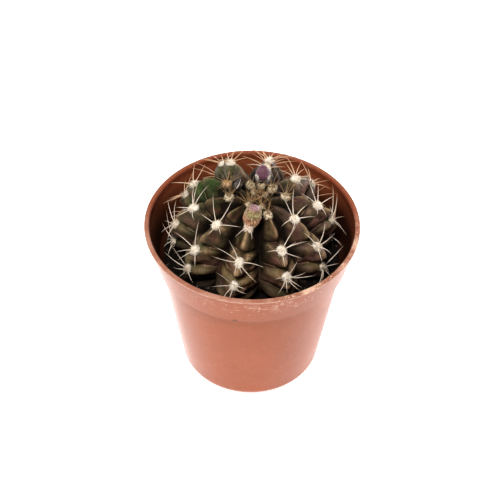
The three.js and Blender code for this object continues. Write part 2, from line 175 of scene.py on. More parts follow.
# One line for each fan: its spines' bearings round the areole, from straight down
# the rib, with their lengths in millimetres
SPINE_FANS = (
    ((-138, 6.8), (-108, 7.2), (-88, 7.1), (102, 7.1), (56, 7.3), (-6, 4), (16, 3)),
    ((133, 8.4), (-107, 5.4), (94, 7.5), (104, 4), (-29, 5.5), (37, 6.4)),
    ((133, 6.1), (-117, 5.3), (-64, 5.6), (-28, 3.9), (21, 4.2), (41, 5.1), (78, 7.1), (101, 5.8)),
    ((-145, 7.8), (-98, 6.6), (123, 3.4), (72, 4.4), (-7, 4.4), (-49, 4.6)),
    ((-165, 8), (-124, 7.5), (120, 6.8), (-60, 5.6), (21, 4), (74, 5)),
    ((176, 6.7), (134, 7.3), (92, 5.6), (-120, 6.4), (-70, 5.2), (36, 5.8)),
)
YOUNG_SPINES = 4
YOUNG_SPINE_LENGTH = 4.8
YOUNG_SPINE_RISE = 66
YOUNG_SPINE_GIRTH = 0.62
# How far chance moves a spine's bearing and rise, in degrees, and its length, as a share
GROWN_SPREAD = (9, 9, 0.12)
YOUNG_SPREAD = (35, 14, 0.25)
# The extra young spines: their number, and the least of their rise and length with what chance adds
EXTRA_YOUNG_SPINES = 7
EXTRA_RISE = (22, 55)
EXTRA_LENGTH = (2.6, 3.8)
SPINE_WALL_GAP = 0.7 * MM
SPINE_SOIL_GAP = 0.6 * MM
SPINE_PLAN_LIMIT = 26.6 * MM
SPINE_BUD_GAP = 0.8 * MM
SPINE_ROLL = math.radians(75)
SPINE_SEGMENTS = 9
SPINE_SIDES = 7
SPINE_SEED = 20
EXTRA_SPINE_SEED = 61

# Flower buds: the rib and angle where each one's foot sits, its width and height, and its lean
# away from upright toward the viewer and to the right. Then the scales in a row, how deep the
# notches between them are and their turn, how slender the bud is, with a lower number for a
# blunter one, and how high its waist lies
BUDS = {
    "front": dict(
        rib=0, down=20, width=3.9 * MM, height=6.7 * MM, forward=7, right=10,
        scales=5, notch=0.16, turn=0.0, slender=0.5, waist=1.3,
    ),
    "back": dict(
        rib=5, down=14, width=3.4 * MM, height=5.3 * MM, forward=1, right=2,
        scales=3, notch=0.34, turn=-0.25, slender=0.40, waist=1.6,
    ),
    "small": dict(
        rib=7, down=16, width=1.5 * MM, height=3.8 * MM, forward=0, right=16,
        scales=3, notch=0.30, turn=-0.25, slender=0.62, waist=1.0,
    ),
}
BUD_SINK = 0.9 * MM
SCALE_ROWS = 5
SCALE_THICKNESS = 0.13 * MM
BUD_SIDES = 150
BUD_RINGS = 90

# Stage. Each light has its place, the height of its target on the pot's axis, its size, its
# power and its colour
LIGHTS = (
    ("key", (-0.10, -0.20, 0.55), 0.04, 0.16, 3.6, (1.0, 0.985, 0.96)),
    ("rear", (0.10, 0.45, 0.35), 0.04, 0.35, 0.25, (1, 1, 1)),
    ("left", (-0.36, 0.24, 0.06), 0.02, 0.12, 0.45, (1, 1, 1)),
    ("right", (0.36, 0.24, 0.06), 0.02, 0.12, 1.8, (1, 1, 1)),
)
WORLD_STRENGTH = 0.10
CAMERA_AIM = Vector((-0.45, 0, 37.28)) * MM


# Settings that a user would change


def colour_of(name, description, default):
    return bpy.props.FloatVectorProperty(
        name=name, description=description, subtype="COLOR", size=3, min=0, max=1, default=default,
    )


def length_of(name, description, default, lowest, highest):
    return bpy.props.FloatProperty(
        name=name, description=description, unit="LENGTH", min=lowest, max=highest, default=default,
    )


class PotSettings(bpy.types.PropertyGroup):
    colour: colour_of("Plastic", "Colour of the pot", (0.35, 0.086, 0.031))
    scuffs: bpy.props.FloatProperty(
        name="Scuffs", description="How much lime and scratching the pot shows",
        subtype="FACTOR", min=0, max=1, default=0.8,
    )


class SoilSettings(bpy.types.PropertyGroup):
    colour: colour_of("Peat", "Colour of the soil", (0.0035, 0.0025, 0.0018))
    grain: length_of("Grain size", "Radius of a large crumb", 0.45 * MM, 0.1 * MM, 2 * MM)
    density: bpy.props.FloatProperty(
        name="Grains", description="Crumbs for each square metre of the soil's top",
        min=0, default=2.6e6,
    )


class PlantSettings(bpy.types.PropertyGroup):
    skin: colour_of("Skin", "Main colour of the ribs", (0.060, 0.040, 0.019))
    band: colour_of("Bands", "Colour of the pale bands and ridges", (0.400, 0.255, 0.130))
    blush: colour_of("Blush", "Reddish colour low on the flanks", (0.270, 0.120, 0.088))
    green: colour_of("Green", "Colour of the greener ribs", (0.028, 0.062, 0.013))


class SpineSettings(bpy.types.PropertyGroup):
    radius: length_of("Radius", "Radius of a spine at its foot", 0.135 * MM, 0.05 * MM, 1 * MM)
    bend: length_of("Bend", "How far a spine's tip bends toward the plant", 1.7 * MM, 0, 5 * MM)
    colour: colour_of("Spines", "Colour of the grown spines", (0.87, 0.72, 0.58))
    young: colour_of("Young spines", "Colour of the young spines", (0.38, 0.22, 0.085))


class WoolSettings(bpy.types.PropertyGroup):
    colour: colour_of("Wool", "Colour of the areoles' wool", (0.94, 0.86, 0.74))
    young: colour_of("Young wool", "Colour of the wool near the crown", (0.78, 0.66, 0.44))
    fibre: length_of("Fibre length", "Length of one wool fibre", 0.34 * MM, 0.1 * MM, 3 * MM)
    density: bpy.props.FloatProperty(
        name="Fibres", description="Fibres for each square metre of wool", min=0, default=12e6,
    )


class BudSettings(bpy.types.PropertyGroup):
    tip: colour_of("Tip", "Colour of the pale bud's tip", (0.44, 0.24, 0.30))
    middle: colour_of("Middle", "Colour of the pale bud's middle", (0.30, 0.20, 0.10))
    foot: colour_of("Foot", "Colour of the pale bud's lowest scales", (0.55, 0.25, 0.13))
    purple: colour_of("Purple", "Colour of the back bud's tip", (0.140, 0.050, 0.082))
    dark: colour_of("Dark", "Colour of the smallest bud's tip", (0.045, 0.026, 0.022))


class StageSettings(bpy.types.PropertyGroup):
    distance: length_of("Camera distance", "From the aim point to the camera", 350 * MM, 50 * MM, 10)
    elevation: bpy.props.FloatProperty(
        name="Camera elevation", description="Angle above the ground", subtype="ANGLE",
        min=0, max=math.pi / 2, default=math.radians(45.84),
    )
    roll: bpy.props.FloatProperty(
        name="Camera roll", description="Turn of the camera about its view", subtype="ANGLE",
        default=math.radians(0.95),
    )
    lens: bpy.props.FloatProperty(
        name="Focal length", description="On a sensor 36 mm wide", unit="CAMERA",
        min=10, max=300, default=97.0,
    )


# Random numbers from a seed, the same as in the part's source


def random_from(seed):
    mask = 0xFFFFFFFF
    state = seed & mask

    def times(a, b):
        return (a * b) & mask

    def draw():
        nonlocal state
        state = (state + 0x6D2B79F5) & mask
        t = times(state ^ (state >> 15), 1 | state)
        t = ((t + times(t ^ (t >> 7), 61 | t)) & mask) ^ t
        return ((t ^ (t >> 14)) & mask) / 4294967296

    return draw


# Node graphs, for shaders and for geometry


def rgba(colour):
    """A colour as a socket takes it."""
    return colour if isinstance(colour, Wire) else (*colour, 1)


def tinted(colour, *factors):
    """A colour times one factor, or times one each for its red, green and blue."""
    return tuple(part * factor for part, factor in zip(colour, factors * 3))


def maths(operation, turned=False):
    """A method that adds one Math node, with its two values changed round if turned."""

    def method(self, other):
        return self.math(operation, *((other, self) if turned else (self, other)))

    return method


class Wire:
    """One output socket. Arithmetic on it adds Math nodes to its graph."""

    def __init__(self, graph, socket):
        self.graph = graph
        self.socket = socket

    def pick(self, name):
        """Another output of the same node."""
        return Wire(self.graph, self.socket.node.outputs[name])

    def math(self, operation, *values):
        return self.graph.node("ShaderNodeMath", dict(enumerate(values)), operation=operation)

    __add__ = maths("ADD")
    __radd__ = maths("ADD", turned=True)
    __sub__ = maths("SUBTRACT")
    __rsub__ = maths("SUBTRACT", turned=True)
    __mul__ = maths("MULTIPLY")
    __rmul__ = maths("MULTIPLY", turned=True)
    __truediv__ = maths("DIVIDE")
    __pow__ = maths("POWER")
    at_most = maths("MINIMUM")
    at_least = maths("MAXIMUM")
    above = maths("GREATER_THAN")

    def __abs__(self):
        return self.math("ABSOLUTE", self)

    def step(self, low, high):
        """0 below low and 1 above high, with a smooth rise between. It falls if high is below low."""
        sockets = {"Value": self, "From Min": min(low, high), "From Max": max(low, high)}
        settings = {"interpolation_type": "SMOOTHSTEP", "clamp": True}
        rise = self.graph.node("ShaderNodeMapRange", sockets, **settings)
        return 1 - rise if high < low else rise

    def hump(self, centre, width):
        """1 at the centre, falling to 0 at the width on both sides."""
        return abs(self - centre).step(width, 0)


class Graph:
    """Adds nodes to a node tree."""

    def __init__(self, tree):
        self.tree = tree

    def node(self, kind, sockets=None, **settings):
        """A node of a kind, with its settings set first and then its sockets."""
        made = self.tree.nodes.new(kind)
        for name, value in settings.items():
            setattr(made, name, value)
        for key, value in (sockets or {}).items():
            socket = self.find(made.inputs, key)
            if isinstance(value, Wire):
                self.tree.links.new(value.socket, socket)
            else:
                socket.default_value = value
        shown = [socket for socket in made.outputs if socket.enabled]
        return Wire(self, shown[0]) if shown else made

    @staticmethod
    def find(inputs, key):
        """The input with this identifier, or else with this number or name."""
        for socket in inputs:
            if socket.identifier == key:
                return socket
        return inputs[key]

    def parts(self, vector):
        split = self.node("ShaderNodeSeparateXYZ", {0: vector})
        return split, split.pick("Y"), split.pick("Z")

    def join(self, x, y, z):
        return self.node("ShaderNodeCombineXYZ", {"X": x, "Y": y, "Z": z})


class Finish(Graph):
    """A procedural material that is painted in layers. Its texture coordinates are in millimetres,
    so a number in a mask on x, y, z or reach is a place on the object."""

    def __init__(self, name, colour):
        self.colour = colour
        self.material = bpy.data.materials.new(name)
        self.material.use_nodes = True
        super().__init__(self.material.node_tree)
        self.tree.nodes.clear()
        place = self.node("ShaderNodeTexCoord").pick("Object")
        self.place = self.stretch(place, (1 / MM,) * 3)

    def stretch(self, vector, factors):
        return self.node("ShaderNodeVectorMath", {0: vector, 1: factors}, operation="MULTIPLY")

    def attribute(self, name):
        return self.node("ShaderNodeAttribute", attribute_name=name).pick("Fac")

    def noise(self, scale, detail=2, vector=None, rough=0.5):
        sockets = {"Vector": vector or self.place, "Scale": scale, "Detail": detail, "Roughness": rough}
        return self.node("ShaderNodeTexNoise", sockets)

    def cells(self, scale, vector=None):
        """How far the nearest of many random points is."""
        return self.node("ShaderNodeTexVoronoi", {"Vector": vector or self.place, "Scale": scale})

    def chance(self, cells):
        """A random number for each point of cells. Its Green is another one."""
        return self.node("ShaderNodeSeparateColor", {0: cells.pick("Color")})

    def mix(self, factor, a, b):
        sockets = {"Factor_Float": factor, "A_Color": rgba(a), "B_Color": rgba(b)}
        return self.node("ShaderNodeMix", sockets, data_type="RGBA")

    def layer(self, factor, colour):
        """Paints a colour over the finish, as far as the factor says."""
        self.colour = self.mix(factor, self.colour, colour)

    def bump(self, height, distance, strength, below=None):
        sockets = {"Height": height, "Distance": distance, "Strength": strength}
        if below:
            sockets["Normal"] = below
        return self.node("ShaderNodeBump", sockets)

    def surface(self, rough, specular, **others):
        """Ends the material in one Principled shader."""
        sockets = {"Base Color": rgba(self.colour), "Roughness": rough, "Specular IOR Level": specular}
        sockets |= {name.replace("_", " "): value for name, value in others.items()}
        shader = self.node("ShaderNodeBsdfPrincipled", sockets)
        self.node("ShaderNodeOutputMaterial", {"Surface": shader})
        return self.material


class Recipe(Graph):
    """A geometry node tree with named inputs, for one modifier."""

    def __init__(self, name, inputs):
        tree = bpy.data.node_groups.new(name, "GeometryNodeTree")
        super().__init__(tree)
        for side in ("INPUT", "OUTPUT"):
            tree.interface.new_socket(name="Geometry", in_out=side, socket_type="NodeSocketGeometry")
        kinds = {int: "NodeSocketInt", float: "NodeSocketFloat"}
        self.keys = {}
        for label, default in {**inputs, "Finish": None}.items():
            kind = kinds.get(type(default), "NodeSocketMaterial")
            socket = tree.interface.new_socket(name=label, in_out="INPUT", socket_type=kind)
            if default is not None:
                socket.default_value = default
            self.keys[label] = socket.identifier
        self.entry = self.node("NodeGroupInput")

    def given(self, label):
        return self.entry.pick(label)

    def points_on(self, bed, selection=True):
        """Random points on a bed, by the tree's inputs for their density and seed."""
        sockets = {"Mesh": bed, "Selection": selection}
        sockets |= {label: self.given(label) for label in ("Density", "Seed")}
        return self.node("GeometryNodeDistributePointsOnFaces", sockets)

    def random_vector(self, low, high, seed):
        sockets = {"Min": low, "Max": high, "Seed": seed}
        return self.node("FunctionNodeRandomValue", sockets, data_type="FLOAT_VECTOR")

    def stem(self, count, sway):
        """A line of one unit that sway pushes aside, and each point's share of the way along it."""
        line = self.node("GeometryNodeCurvePrimitiveLine", {"Start": (0, 0, 0), "End": (0, 0, 1)})
        line = self.node("GeometryNodeResampleCurve", {"Curve": line, "Count": count})
        along = self.node("GeometryNodeSplineParameter")
        offset = self.join(sway(along), 0, 0)
        return self.node("GeometryNodeSetPosition", {"Geometry": line, "Offset": offset}), along

    def swept(self, line, sides, radius, **others):
        """A closed tube of a few sides along a line."""
        ring = self.node("GeometryNodeCurvePrimitiveCircle", {"Resolution": sides, "Radius": radius})
        sockets = {"Curve": line, "Profile Curve": ring, "Fill Caps": True, **others}
        return self.node("GeometryNodeCurveToMesh", sockets)

    def copies(self, points, thing, turn, size):
        sockets = {"Points": points, "Instance": thing, "Rotation": turn, "Scale": size}
        return self.node("GeometryNodeInstanceOnPoints", sockets)

    def both(self, first, second):
        joined = self.node("GeometryNodeJoinGeometry", {"Geometry": first})
        self.tree.links.new(second.socket, joined.socket.node.inputs[0])
        return joined

    def finish(self, geometry):
        """Realizes what the tree made, gives it its finish and ends the tree."""
        real = self.node("GeometryNodeRealizeInstances", {"Geometry": geometry})
        smooth = self.node("GeometryNodeSetShadeSmooth", {"Geometry": real})
        worn = self.node("GeometryNodeSetMaterial", {"Geometry": smooth, "Material": self.given("Finish")})
        self.node("NodeGroupOutput", {"Geometry": worn})
        return self

    def apply(self, piece, values):
        """Runs the tree on a piece and leaves the result as a plain mesh."""
        modifier = piece.modifiers.new(self.tree.name, "NODES")
        modifier.node_group = self.tree
        for label, value in values.items():
            modifier[self.keys[label]] = value
        keep_result(piece, modifier)


# Meshes


def smoothstep(low, high, value):
    """0 at low and 1 at high, with a smooth rise between. It falls if high is below low."""
    t = np.clip((value - low) / (high - low), 0, 1)
    return t * t * (3 - 2 * t)


def lattice_noise(points, seed):
    """Smooth random values from -1 to 1 at points, one cell for each unit."""
    base = np.floor(points).astype(np.int64)
    share = points - base
    share = share * share * (3 - 2 * share)
    total = np.zeros(len(points))
    for corner in range(8):
        bits = np.array([(corner >> axis) & 1 for axis in range(3)])
        cell = base + bits
        mixed = cell[:, 0] * 73856093 ^ cell[:, 1] * 19349663 ^ cell[:, 2] * 83492791 ^ seed * 2654435761
        mixed = (mixed ^ (mixed >> 13)) * 1274126177 & 0xFFFFFFFF
        value = ((mixed ^ (mixed >> 16)) & 0xFFFF) / 32767.5 - 1
        weight = np.prod(np.where(bits, share, 1 - share), axis=1)
        total += weight * value
    return total


def linked(name, data):
    """A new object in the scene."""
    piece = bpy.data.objects.new(name, data)
    bpy.context.scene.collection.objects.link(piece)
    return piece


def new_piece(name, vertices, faces, finish, attributes=None):
    """An object from vertices and faces, smooth, with float attributes on its vertices."""
    mesh = bpy.data.meshes.new(name)
    mesh.from_pydata([tuple(v) for v in vertices], [], faces)
    mesh.materials.append(finish)
    for label, values in (attributes or {}).items():
        layer = mesh.attributes.new(label, "FLOAT", "POINT")
        layer.data.foreach_set("value", np.asarray(values, np.float32))
    mesh.shade_smooth()
    mesh.validate()
    return linked(name, mesh)


def circle(radius, bearing, z):
    """Points at a radius and a height, one for each bearing."""
    return np.stack([radius * np.cos(bearing), radius * np.sin(bearing), z + 0 * bearing], -1)


def ring_faces(rings, sides, start=0):
    """Faces of a closed surface: a point, rings of points and a last point, all pointing out."""
    faces = []
    first = start + 1
    last = start + 1 + rings * sides
    for side in range(sides):
        after = (side + 1) % sides
        faces.append((start, first + side, first + after))
        tail = first + (rings - 1) * sides
        faces.append((tail + side, last, tail + after))
    for ring in range(rings - 1):
        upper = first + ring * sides
        lower = upper + sides
        for side in range(sides):
            after = (side + 1) % sides
            faces.append((upper + side, lower + side, lower + after, upper + after))
    return faces


def keep_result(piece, modifier):
    """Makes what a modifier does a plain mesh, and takes the modifier off."""
    graph = bpy.context.evaluated_depsgraph_get()
    result = bpy.data.meshes.new_from_object(piece.evaluated_get(graph))
    piece.modifiers.remove(modifier)
    piece.data = result


def declare(piece, slot, *nodes):
    """Attaches a finished piece to the body that it rides on and hides the parts that it stands for. The
    slot is not used.
    """
    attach(piece, BODY)
    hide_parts(*nodes)


# Pot


def arc(centre, radius, start, end, count):
    """Points on a round stretch of a profile, from one angle to another in degrees."""
    for angle in np.radians(np.linspace(start, end, count)):
        yield centre[0] + radius * math.cos(angle), centre[1] + radius * math.sin(angle)


def pot_inner_radius(z):
    """Inner radius of the pot's wall at a height."""
    if z >= COLLAR_BOTTOM:
        heights = (COLLAR_BOTTOM, POT_HEIGHT)
        return float(np.interp(z, heights, (COLLAR_FOOT_RADIUS - WALL, RIM_RADIUS - RIM_LIP)))
    slope = (BODY_TOP_RADIUS - FOOT_RADIUS) / (COLLAR_BOTTOM - FOOT_ROUNDING)
    return FOOT_RADIUS - WALL + slope * (z - FOOT_ROUNDING)


def stretch_points(start, end, count):
    """Points between two ends of a straight stretch, without the ends. Two lie close to the ends
    and keep the shading of the edges there crisp."""
    for share in (0.01, *np.linspace(0, 1, count + 2)[1:-1], 0.99):
        yield start[0] + share * (end[0] - start[0]), start[1] + share * (end[1] - start[1])


def pot_profile():
    """The wall's outline from the middle of the underside, out and up, and back down inside,
    and the number of its first point inside."""
    crisp = 0.08 * MM
    lip_edge = 0.25 * MM
    rounding = FOOT_ROUNDING * 1.02
    lip_foot = POT_HEIGHT - RIM_BAND
    body_foot = (FOOT_RADIUS + 0.1 * MM, FOOT_ROUNDING)
    body_top = (BODY_TOP_RADIUS, COLLAR_BOTTOM - 0.1 * MM)
    collar_foot = (COLLAR_FOOT_RADIUS, COLLAR_BOTTOM + crisp)
    collar_top = (RIM_RADIUS - 0.4 * MM, lip_foot - 0.3 * MM)
    inner_top = (RIM_RADIUS - RIM_LIP - 0.02 * MM, POT_HEIGHT - 0.5 * MM)
    inner_step = (pot_inner_radius(COLLAR_BOTTOM), COLLAR_BOTTOM)
    inner_body = (pot_inner_radius(COLLAR_BOTTOM - 0.4 * MM), COLLAR_BOTTOM - 0.4 * MM)
    inner_foot = (pot_inner_radius(FLOOR_TOP + 1.5 * MM), FLOOR_TOP + 1.5 * MM)
    points = [
        (0, FOOT_RECESS), (0.5 * FOOT_RING_INNER, FOOT_RECESS),
        (FOOT_RING_INNER - 0.4 * MM, FOOT_RECESS), (FOOT_RING_INNER - 0.1 * MM, 0.3 * MM),
        (FOOT_RING_INNER + 0.2 * MM, 0),
        *arc((FOOT_RADIUS + 0.1 * MM - rounding, rounding), rounding, -90, -8, 10),
        *stretch_points(body_foot, body_top, 12),
        body_top, (BODY_TOP_RADIUS + 0.15 * MM, COLLAR_BOTTOM),
        *arc((COLLAR_FOOT_RADIUS - crisp, COLLAR_BOTTOM + crisp), crisp, -90, -5, 3),
        *stretch_points(collar_foot, collar_top, 5),
        collar_top, (RIM_RADIUS - 0.36 * MM, lip_foot - 0.08 * MM),
        (RIM_RADIUS - 0.08 * MM, lip_foot), (RIM_RADIUS, lip_foot + 0.1 * MM),
        *arc((RIM_RADIUS - lip_edge, POT_HEIGHT - lip_edge), lip_edge, 0, 90, 5),
        *arc((inner_top[0] + 2 * lip_edge, POT_HEIGHT - 2 * lip_edge), 2 * lip_edge, 90, 170, 6),
    ]
    inner_points = [
        inner_top, *stretch_points(inner_top, inner_step, 5),
        inner_step, inner_body, *stretch_points(inner_body, inner_foot, 5),
        inner_foot, (inner_foot[0] - 0.6 * MM, FLOOR_TOP + 0.3 * MM),
        (inner_foot[0] - 1.6 * MM, FLOOR_TOP), (0.5 * FOOT_RING_INNER, FLOOR_TOP), (0, FLOOR_TOP),
    ]
    return points + inner_points, len(points)


def lathe(name, profile, sides, finish, inside):
    """A closed turned piece from a profile that starts below and ends above on the axis.
    From the profile's point number inside on, its attribute of that name is 1."""
    bearings = np.linspace(0, 2 * math.pi, sides, endpoint=False)
    vertices = [(0, 0, profile[0][1])]
    for radius, z in profile[1:-1]:
        vertices += [(radius * math.cos(b), radius * math.sin(b), z) for b in bearings]
    vertices.append((0, 0, profile[-1][1]))
    faces = [face[::-1] for face in ring_faces(len(profile) - 2, sides)]
    values = [0 if number < 1 + (inside - 1) * sides else 1 for number in range(len(vertices))]
    return new_piece(name, vertices, faces, finish, {"inside": values})


def drill(piece, cutters):
    """Cuts a joined object of cutters out of a piece."""
    modifier = piece.modifiers.new("Drain holes", "BOOLEAN")
    modifier.operation = "DIFFERENCE"
    modifier.solver = "EXACT"
    modifier.object = cutters
    keep_result(piece, modifier)
    bpy.data.objects.remove(cutters)


def drain_cutters():
    form = bmesh.new()
    for index in range(DRAIN_COUNT):
        angle = 2 * math.pi * (index + 0.5) / DRAIN_COUNT
        centre = (DRAIN_CIRCLE * math.cos(angle), DRAIN_CIRCLE * math.sin(angle), FLOOR_TOP)
        bmesh.ops.create_cone(
            form, cap_ends=True, segments=32, radius1=DRAIN_RADIUS, radius2=DRAIN_RADIUS,
            depth=4 * WALL, matrix=Matrix.Translation(centre),
        )
    mesh = bpy.data.meshes.new("drain_cutters")
    form.to_mesh(mesh)
    form.free()
    return linked("drain_cutters", mesh)


# The pot's heights in millimetres, and the colours that its finish mixes in
TOP = POT_HEIGHT / MM
LIP_FOOT = TOP - RIM_BAND / MM
COLLAR_FOOT = COLLAR_BOTTOM / MM
WRAP_RADIUS = COLLAR_FOOT_RADIUS / MM
PINK_GRAIN = (0.62, 0.24, 0.14)
LIT_FRONT_LIP = (0.37, 0.15, 0.098)
SHADED_REAR_LIP = (0.29, 0.088, 0.044)
CRUST = (0.90, 0.57, 0.41)
FLECK = (0.95, 0.74, 0.50)
REAR_BEAD_SHADE = (0.16, 0.030, 0.011)
LIME = (0.86, 0.60, 0.46)
BLOOM = (0.74, 0.44, 0.32)
DIRT = (0.12, 0.045, 0.03)
INNER_WALL_SHADE = (0.010, 0.0030, 0.0018)


def pot_shadow_lines(x, y, z):
    """Painted shadow lines under the lip and at the collar's foot, with a dark spot on the lower one."""
    undercut_shadow = z.hump(LIP_FOOT - 0.2, 0.3)
    joint_shadow = z.hump(COLLAR_FOOT + 0.12, 0.4) * (0.2 + (x - 3).hump(0, 16) * 0.8)
    spot = (x + 3.9).hump(0, 1.0) * z.hump(COLLAR_FOOT + 0.35, 1.0) * y.step(0, -5)
    return (joint_shadow * 0.7 + undercut_shadow * 0.5 + spot * 1.3).at_most(1.0)


def pot_lip(paint, x, y, z, reach, wrapped):
    """Paints the lip, with painted highlight in front and painted shade at the rear, and painted shade on
    the rounding under it at the rear. Gives back how glossy each place is.
    """
    lip = z.step(TOP - 0.45, TOP - 0.2)
    crust = paint.noise(0.5, 4, paint.stretch(wrapped, (0.35, 1, 1)), rough=0.6).step(0.42, 0.62)
    crust = crust * (0.3 + x.step(3, 12) * 0.7) * y.step(6, -8)
    rear = y.step(-4, 8)
    # The lip is painted paler in front as painted highlight and darker at the rear as painted shade
    paint.layer(lip * 0.85, paint.mix(rear, LIT_FRONT_LIP, SHADED_REAR_LIP))
    paint.layer(lip * crust * 0.75, CRUST)
    fleck = paint.cells(1.7).step(0.42, 0.2) * paint.noise(0.6, 3).step(0.4, 0.6)
    fleck = fleck * z.step(TOP - 1, TOP - 0.5) * x.step(0, 9) * y.step(8, -4)
    paint.layer(fleck * 0.8, FLECK)
    # Painted shade on the inner rounding under the lip at the rear, which also takes the coat off there
    bead_shade = reach.step(RIM_RADIUS / MM - 0.75, RIM_RADIUS / MM - 1.1) * rear
    bead_shade = bead_shade * z.step(TOP - 2.2, TOP - 1.5)
    paint.layer(bead_shade * 0.65, REAR_BEAD_SHADE)
    return lip * rear * 0.85, bead_shade


def pot_marks(paint, x, y, z, reach, wrapped, streak, scuffs):
    """Paints lime, bloom and dirt on the collar and the lip, and a painted highlight along the lip's lower
    edge. Gives back where the lime and that highlight are.
    """
    # Painted highlight along the outer edge at the lip's foot, in the lime colour
    lip_edge_highlight = z.hump(LIP_FOOT + 0.2, 0.3) * (paint.noise(0.7, 3).step(0.35, 0.6) * 0.6 + 0.4)
    lip_edge_highlight = lip_edge_highlight * reach.step(RIM_RADIUS / MM - 0.9, RIM_RADIUS / MM - 0.6)
    front = y.step(-14, -24) * (x - 2).hump(0, 21)
    worn = front * (z.hump(43.6, 3.6) * 0.8 + z.hump(36.4, 0.9) * 0.6) + 0.04
    specks = paint.cells(0.9)
    chance = paint.chance(specks)
    marks = specks.step(0.4, 0.16) * chance.step(0.45, 0.5)
    blots = paint.cells(0.45)
    heavy = (x - 9.5).hump(0, 5.5)
    blot = (blots + (streak - 0.5) * 0.4 - heavy * 0.1).step(0.26, 0.12)
    marks += blot * (paint.chance(blots) + heavy * 0.25).step(0.55, 0.6) * 0.8
    dashes = paint.cells(0.8, paint.stretch(wrapped, (0.42, 2.6, 1)))
    marks += dashes.step(0.3, 0.14) * paint.chance(dashes).step(0.5, 0.55) * 0.8
    falls = paint.cells(0.5, paint.stretch(wrapped, (2.2, 0.35, 1)))
    marks += falls.step(0.22, 0.1) * paint.chance(falls).step(0.6, 0.65) * z.step(39, 41) * 0.8
    lime = (marks * worn * scuffs + lip_edge_highlight * 0.7).at_most(1.0)
    paint.layer(lime, LIME)
    bloom = paint.noise(0.3, 4, rough=0.6).step(0.45, 0.7) * worn
    paint.layer(bloom * 0.4, BLOOM)
    dirt = specks.step(0.26, 0.1) * chance.step(0.035, 0.03)
    paint.layer(dirt * 0.7, DIRT)
    return lime


def pot_finish(settings):
    """Moulded terracotta-coloured plastic with a worn, crusted lip, lime specks and short scratches; the
    lip also carries painted highlight and painted shade, and the inner wall painted shade.
    """
    base = tuple(settings.colour)
    paint = Finish("pot_plastic", base)
    x, y, z = paint.parts(paint.place)
    reach = (x * x + y * y) ** 0.5
    wrapped = paint.join(y.math("ARCTAN2", y, x) * WRAP_RADIUS, z, 0)
    cloud = paint.noise(0.09, 3)
    streak = paint.noise(0.5, 3, paint.stretch(wrapped, (0.3, 2.6, 1)))
    grain = paint.noise(3.2, 2)
    paint.layer(cloud.step(0.3, 0.75), tinted(base, 1.09))
    paint.layer(streak.step(0.5, 0.75) * 0.35, tinted(base, 0.8))
    paint.layer(grain.step(0.45, 0.8) * 0.08, PINK_GRAIN)
    # Painted shadow under the lip and under the collar's step, and a dark spot on the collar's foot
    paint.layer(pot_shadow_lines(x, y, z), tinted(base, 0.4))
    shiny_lip, bead_shade = pot_lip(paint, x, y, z, reach, wrapped)
    # lime holds the lime marks and the painted highlight along the lip's lower edge
    lime = pot_marks(paint, x, y, z, reach, wrapped, streak, settings.scuffs)
    inside = paint.attribute("inside")
    # Painted shade on the inner wall: darker deeper down, on the left and right sides and in the lower
    # right corner, a little less on the far left
    side = abs(x).step(6, 21) * y.step(24, 6)
    depth = z.step(TOP - 0.5, SOIL_LEVEL / MM + 2)
    corner = x.step(12, 22) * y.step(6, -8) * z.step(45, 41)
    inner_shade = depth * 0.35 + 0.3 + cloud * 0.12 + side * 0.36 + corner * 0.4 - x.step(-12, -20) * 0.12
    paint.layer(inside * inner_shade.at_most(0.975), INNER_WALL_SHADE)
    gloss = 1 - (inside * 0.5).at_least(shiny_lip).at_least(bead_shade)
    rough = 0.36 + paint.noise(0.6, 4) * 0.16 + lime * 0.3
    height = paint.noise(1.6, 3) * 0.6 + grain * 0.4 + lime * 0.5
    return paint.surface(
        rough, 0.08, Normal=paint.bump(height, 0.05 * MM, 0.5), IOR=1.45,
        Coat_Weight=gloss, Coat_IOR=1.15, Coat_Roughness=0.2,
    )


# Soil


def soil_vertices():
    """The soil's rings, from the middle of its top, out to the wall and down to the pot's floor."""
    edge = pot_inner_radius(COLLAR_BOTTOM - 0.5 * MM) - 0.05 * MM
    open_radii = np.linspace(OPEN_SOIL_RADIUS, edge, OPEN_SOIL_RINGS)
    top_radii = np.concatenate([COVERED_RADII, open_radii])
    bearings = np.linspace(0, 2 * math.pi, SOIL_SIDES, endpoint=False)
    radius, bearing = np.meshgrid(top_radii, bearings, indexing="ij")
    top = circle(radius, bearing, 0).reshape(-1, 3)
    flat = top / MM
    lumps = 0.32 * lattice_noise(flat * 0.5, 3) + 0.2 * lattice_noise(flat * 1.3, 4)
    lumps += 0.12 * lattice_noise(flat * 3.1, 5)
    near_wall = smoothstep(0, 1, (np.hypot(top[:, 0], top[:, 1]) - edge + 2 * MM) / (2 * MM))
    top[:, 2] = SOIL_LEVEL + lumps * MM - 0.5 * near_wall * MM
    bottom = FLOOR_TOP + 0.1 * MM
    sides = ((SOIL_LEVEL - 2 * MM, 0.05 * MM), (FLOOR_TOP + 2 * MM, 0.05 * MM), (bottom, 1.7 * MM))
    rings = [circle(pot_inner_radius(z) - gap, bearings, z) for z, gap in sides]
    return np.concatenate([[[0, 0, SOIL_LEVEL]], top, *rings, [[0, 0, bottom]]]), len(top_radii) + 3


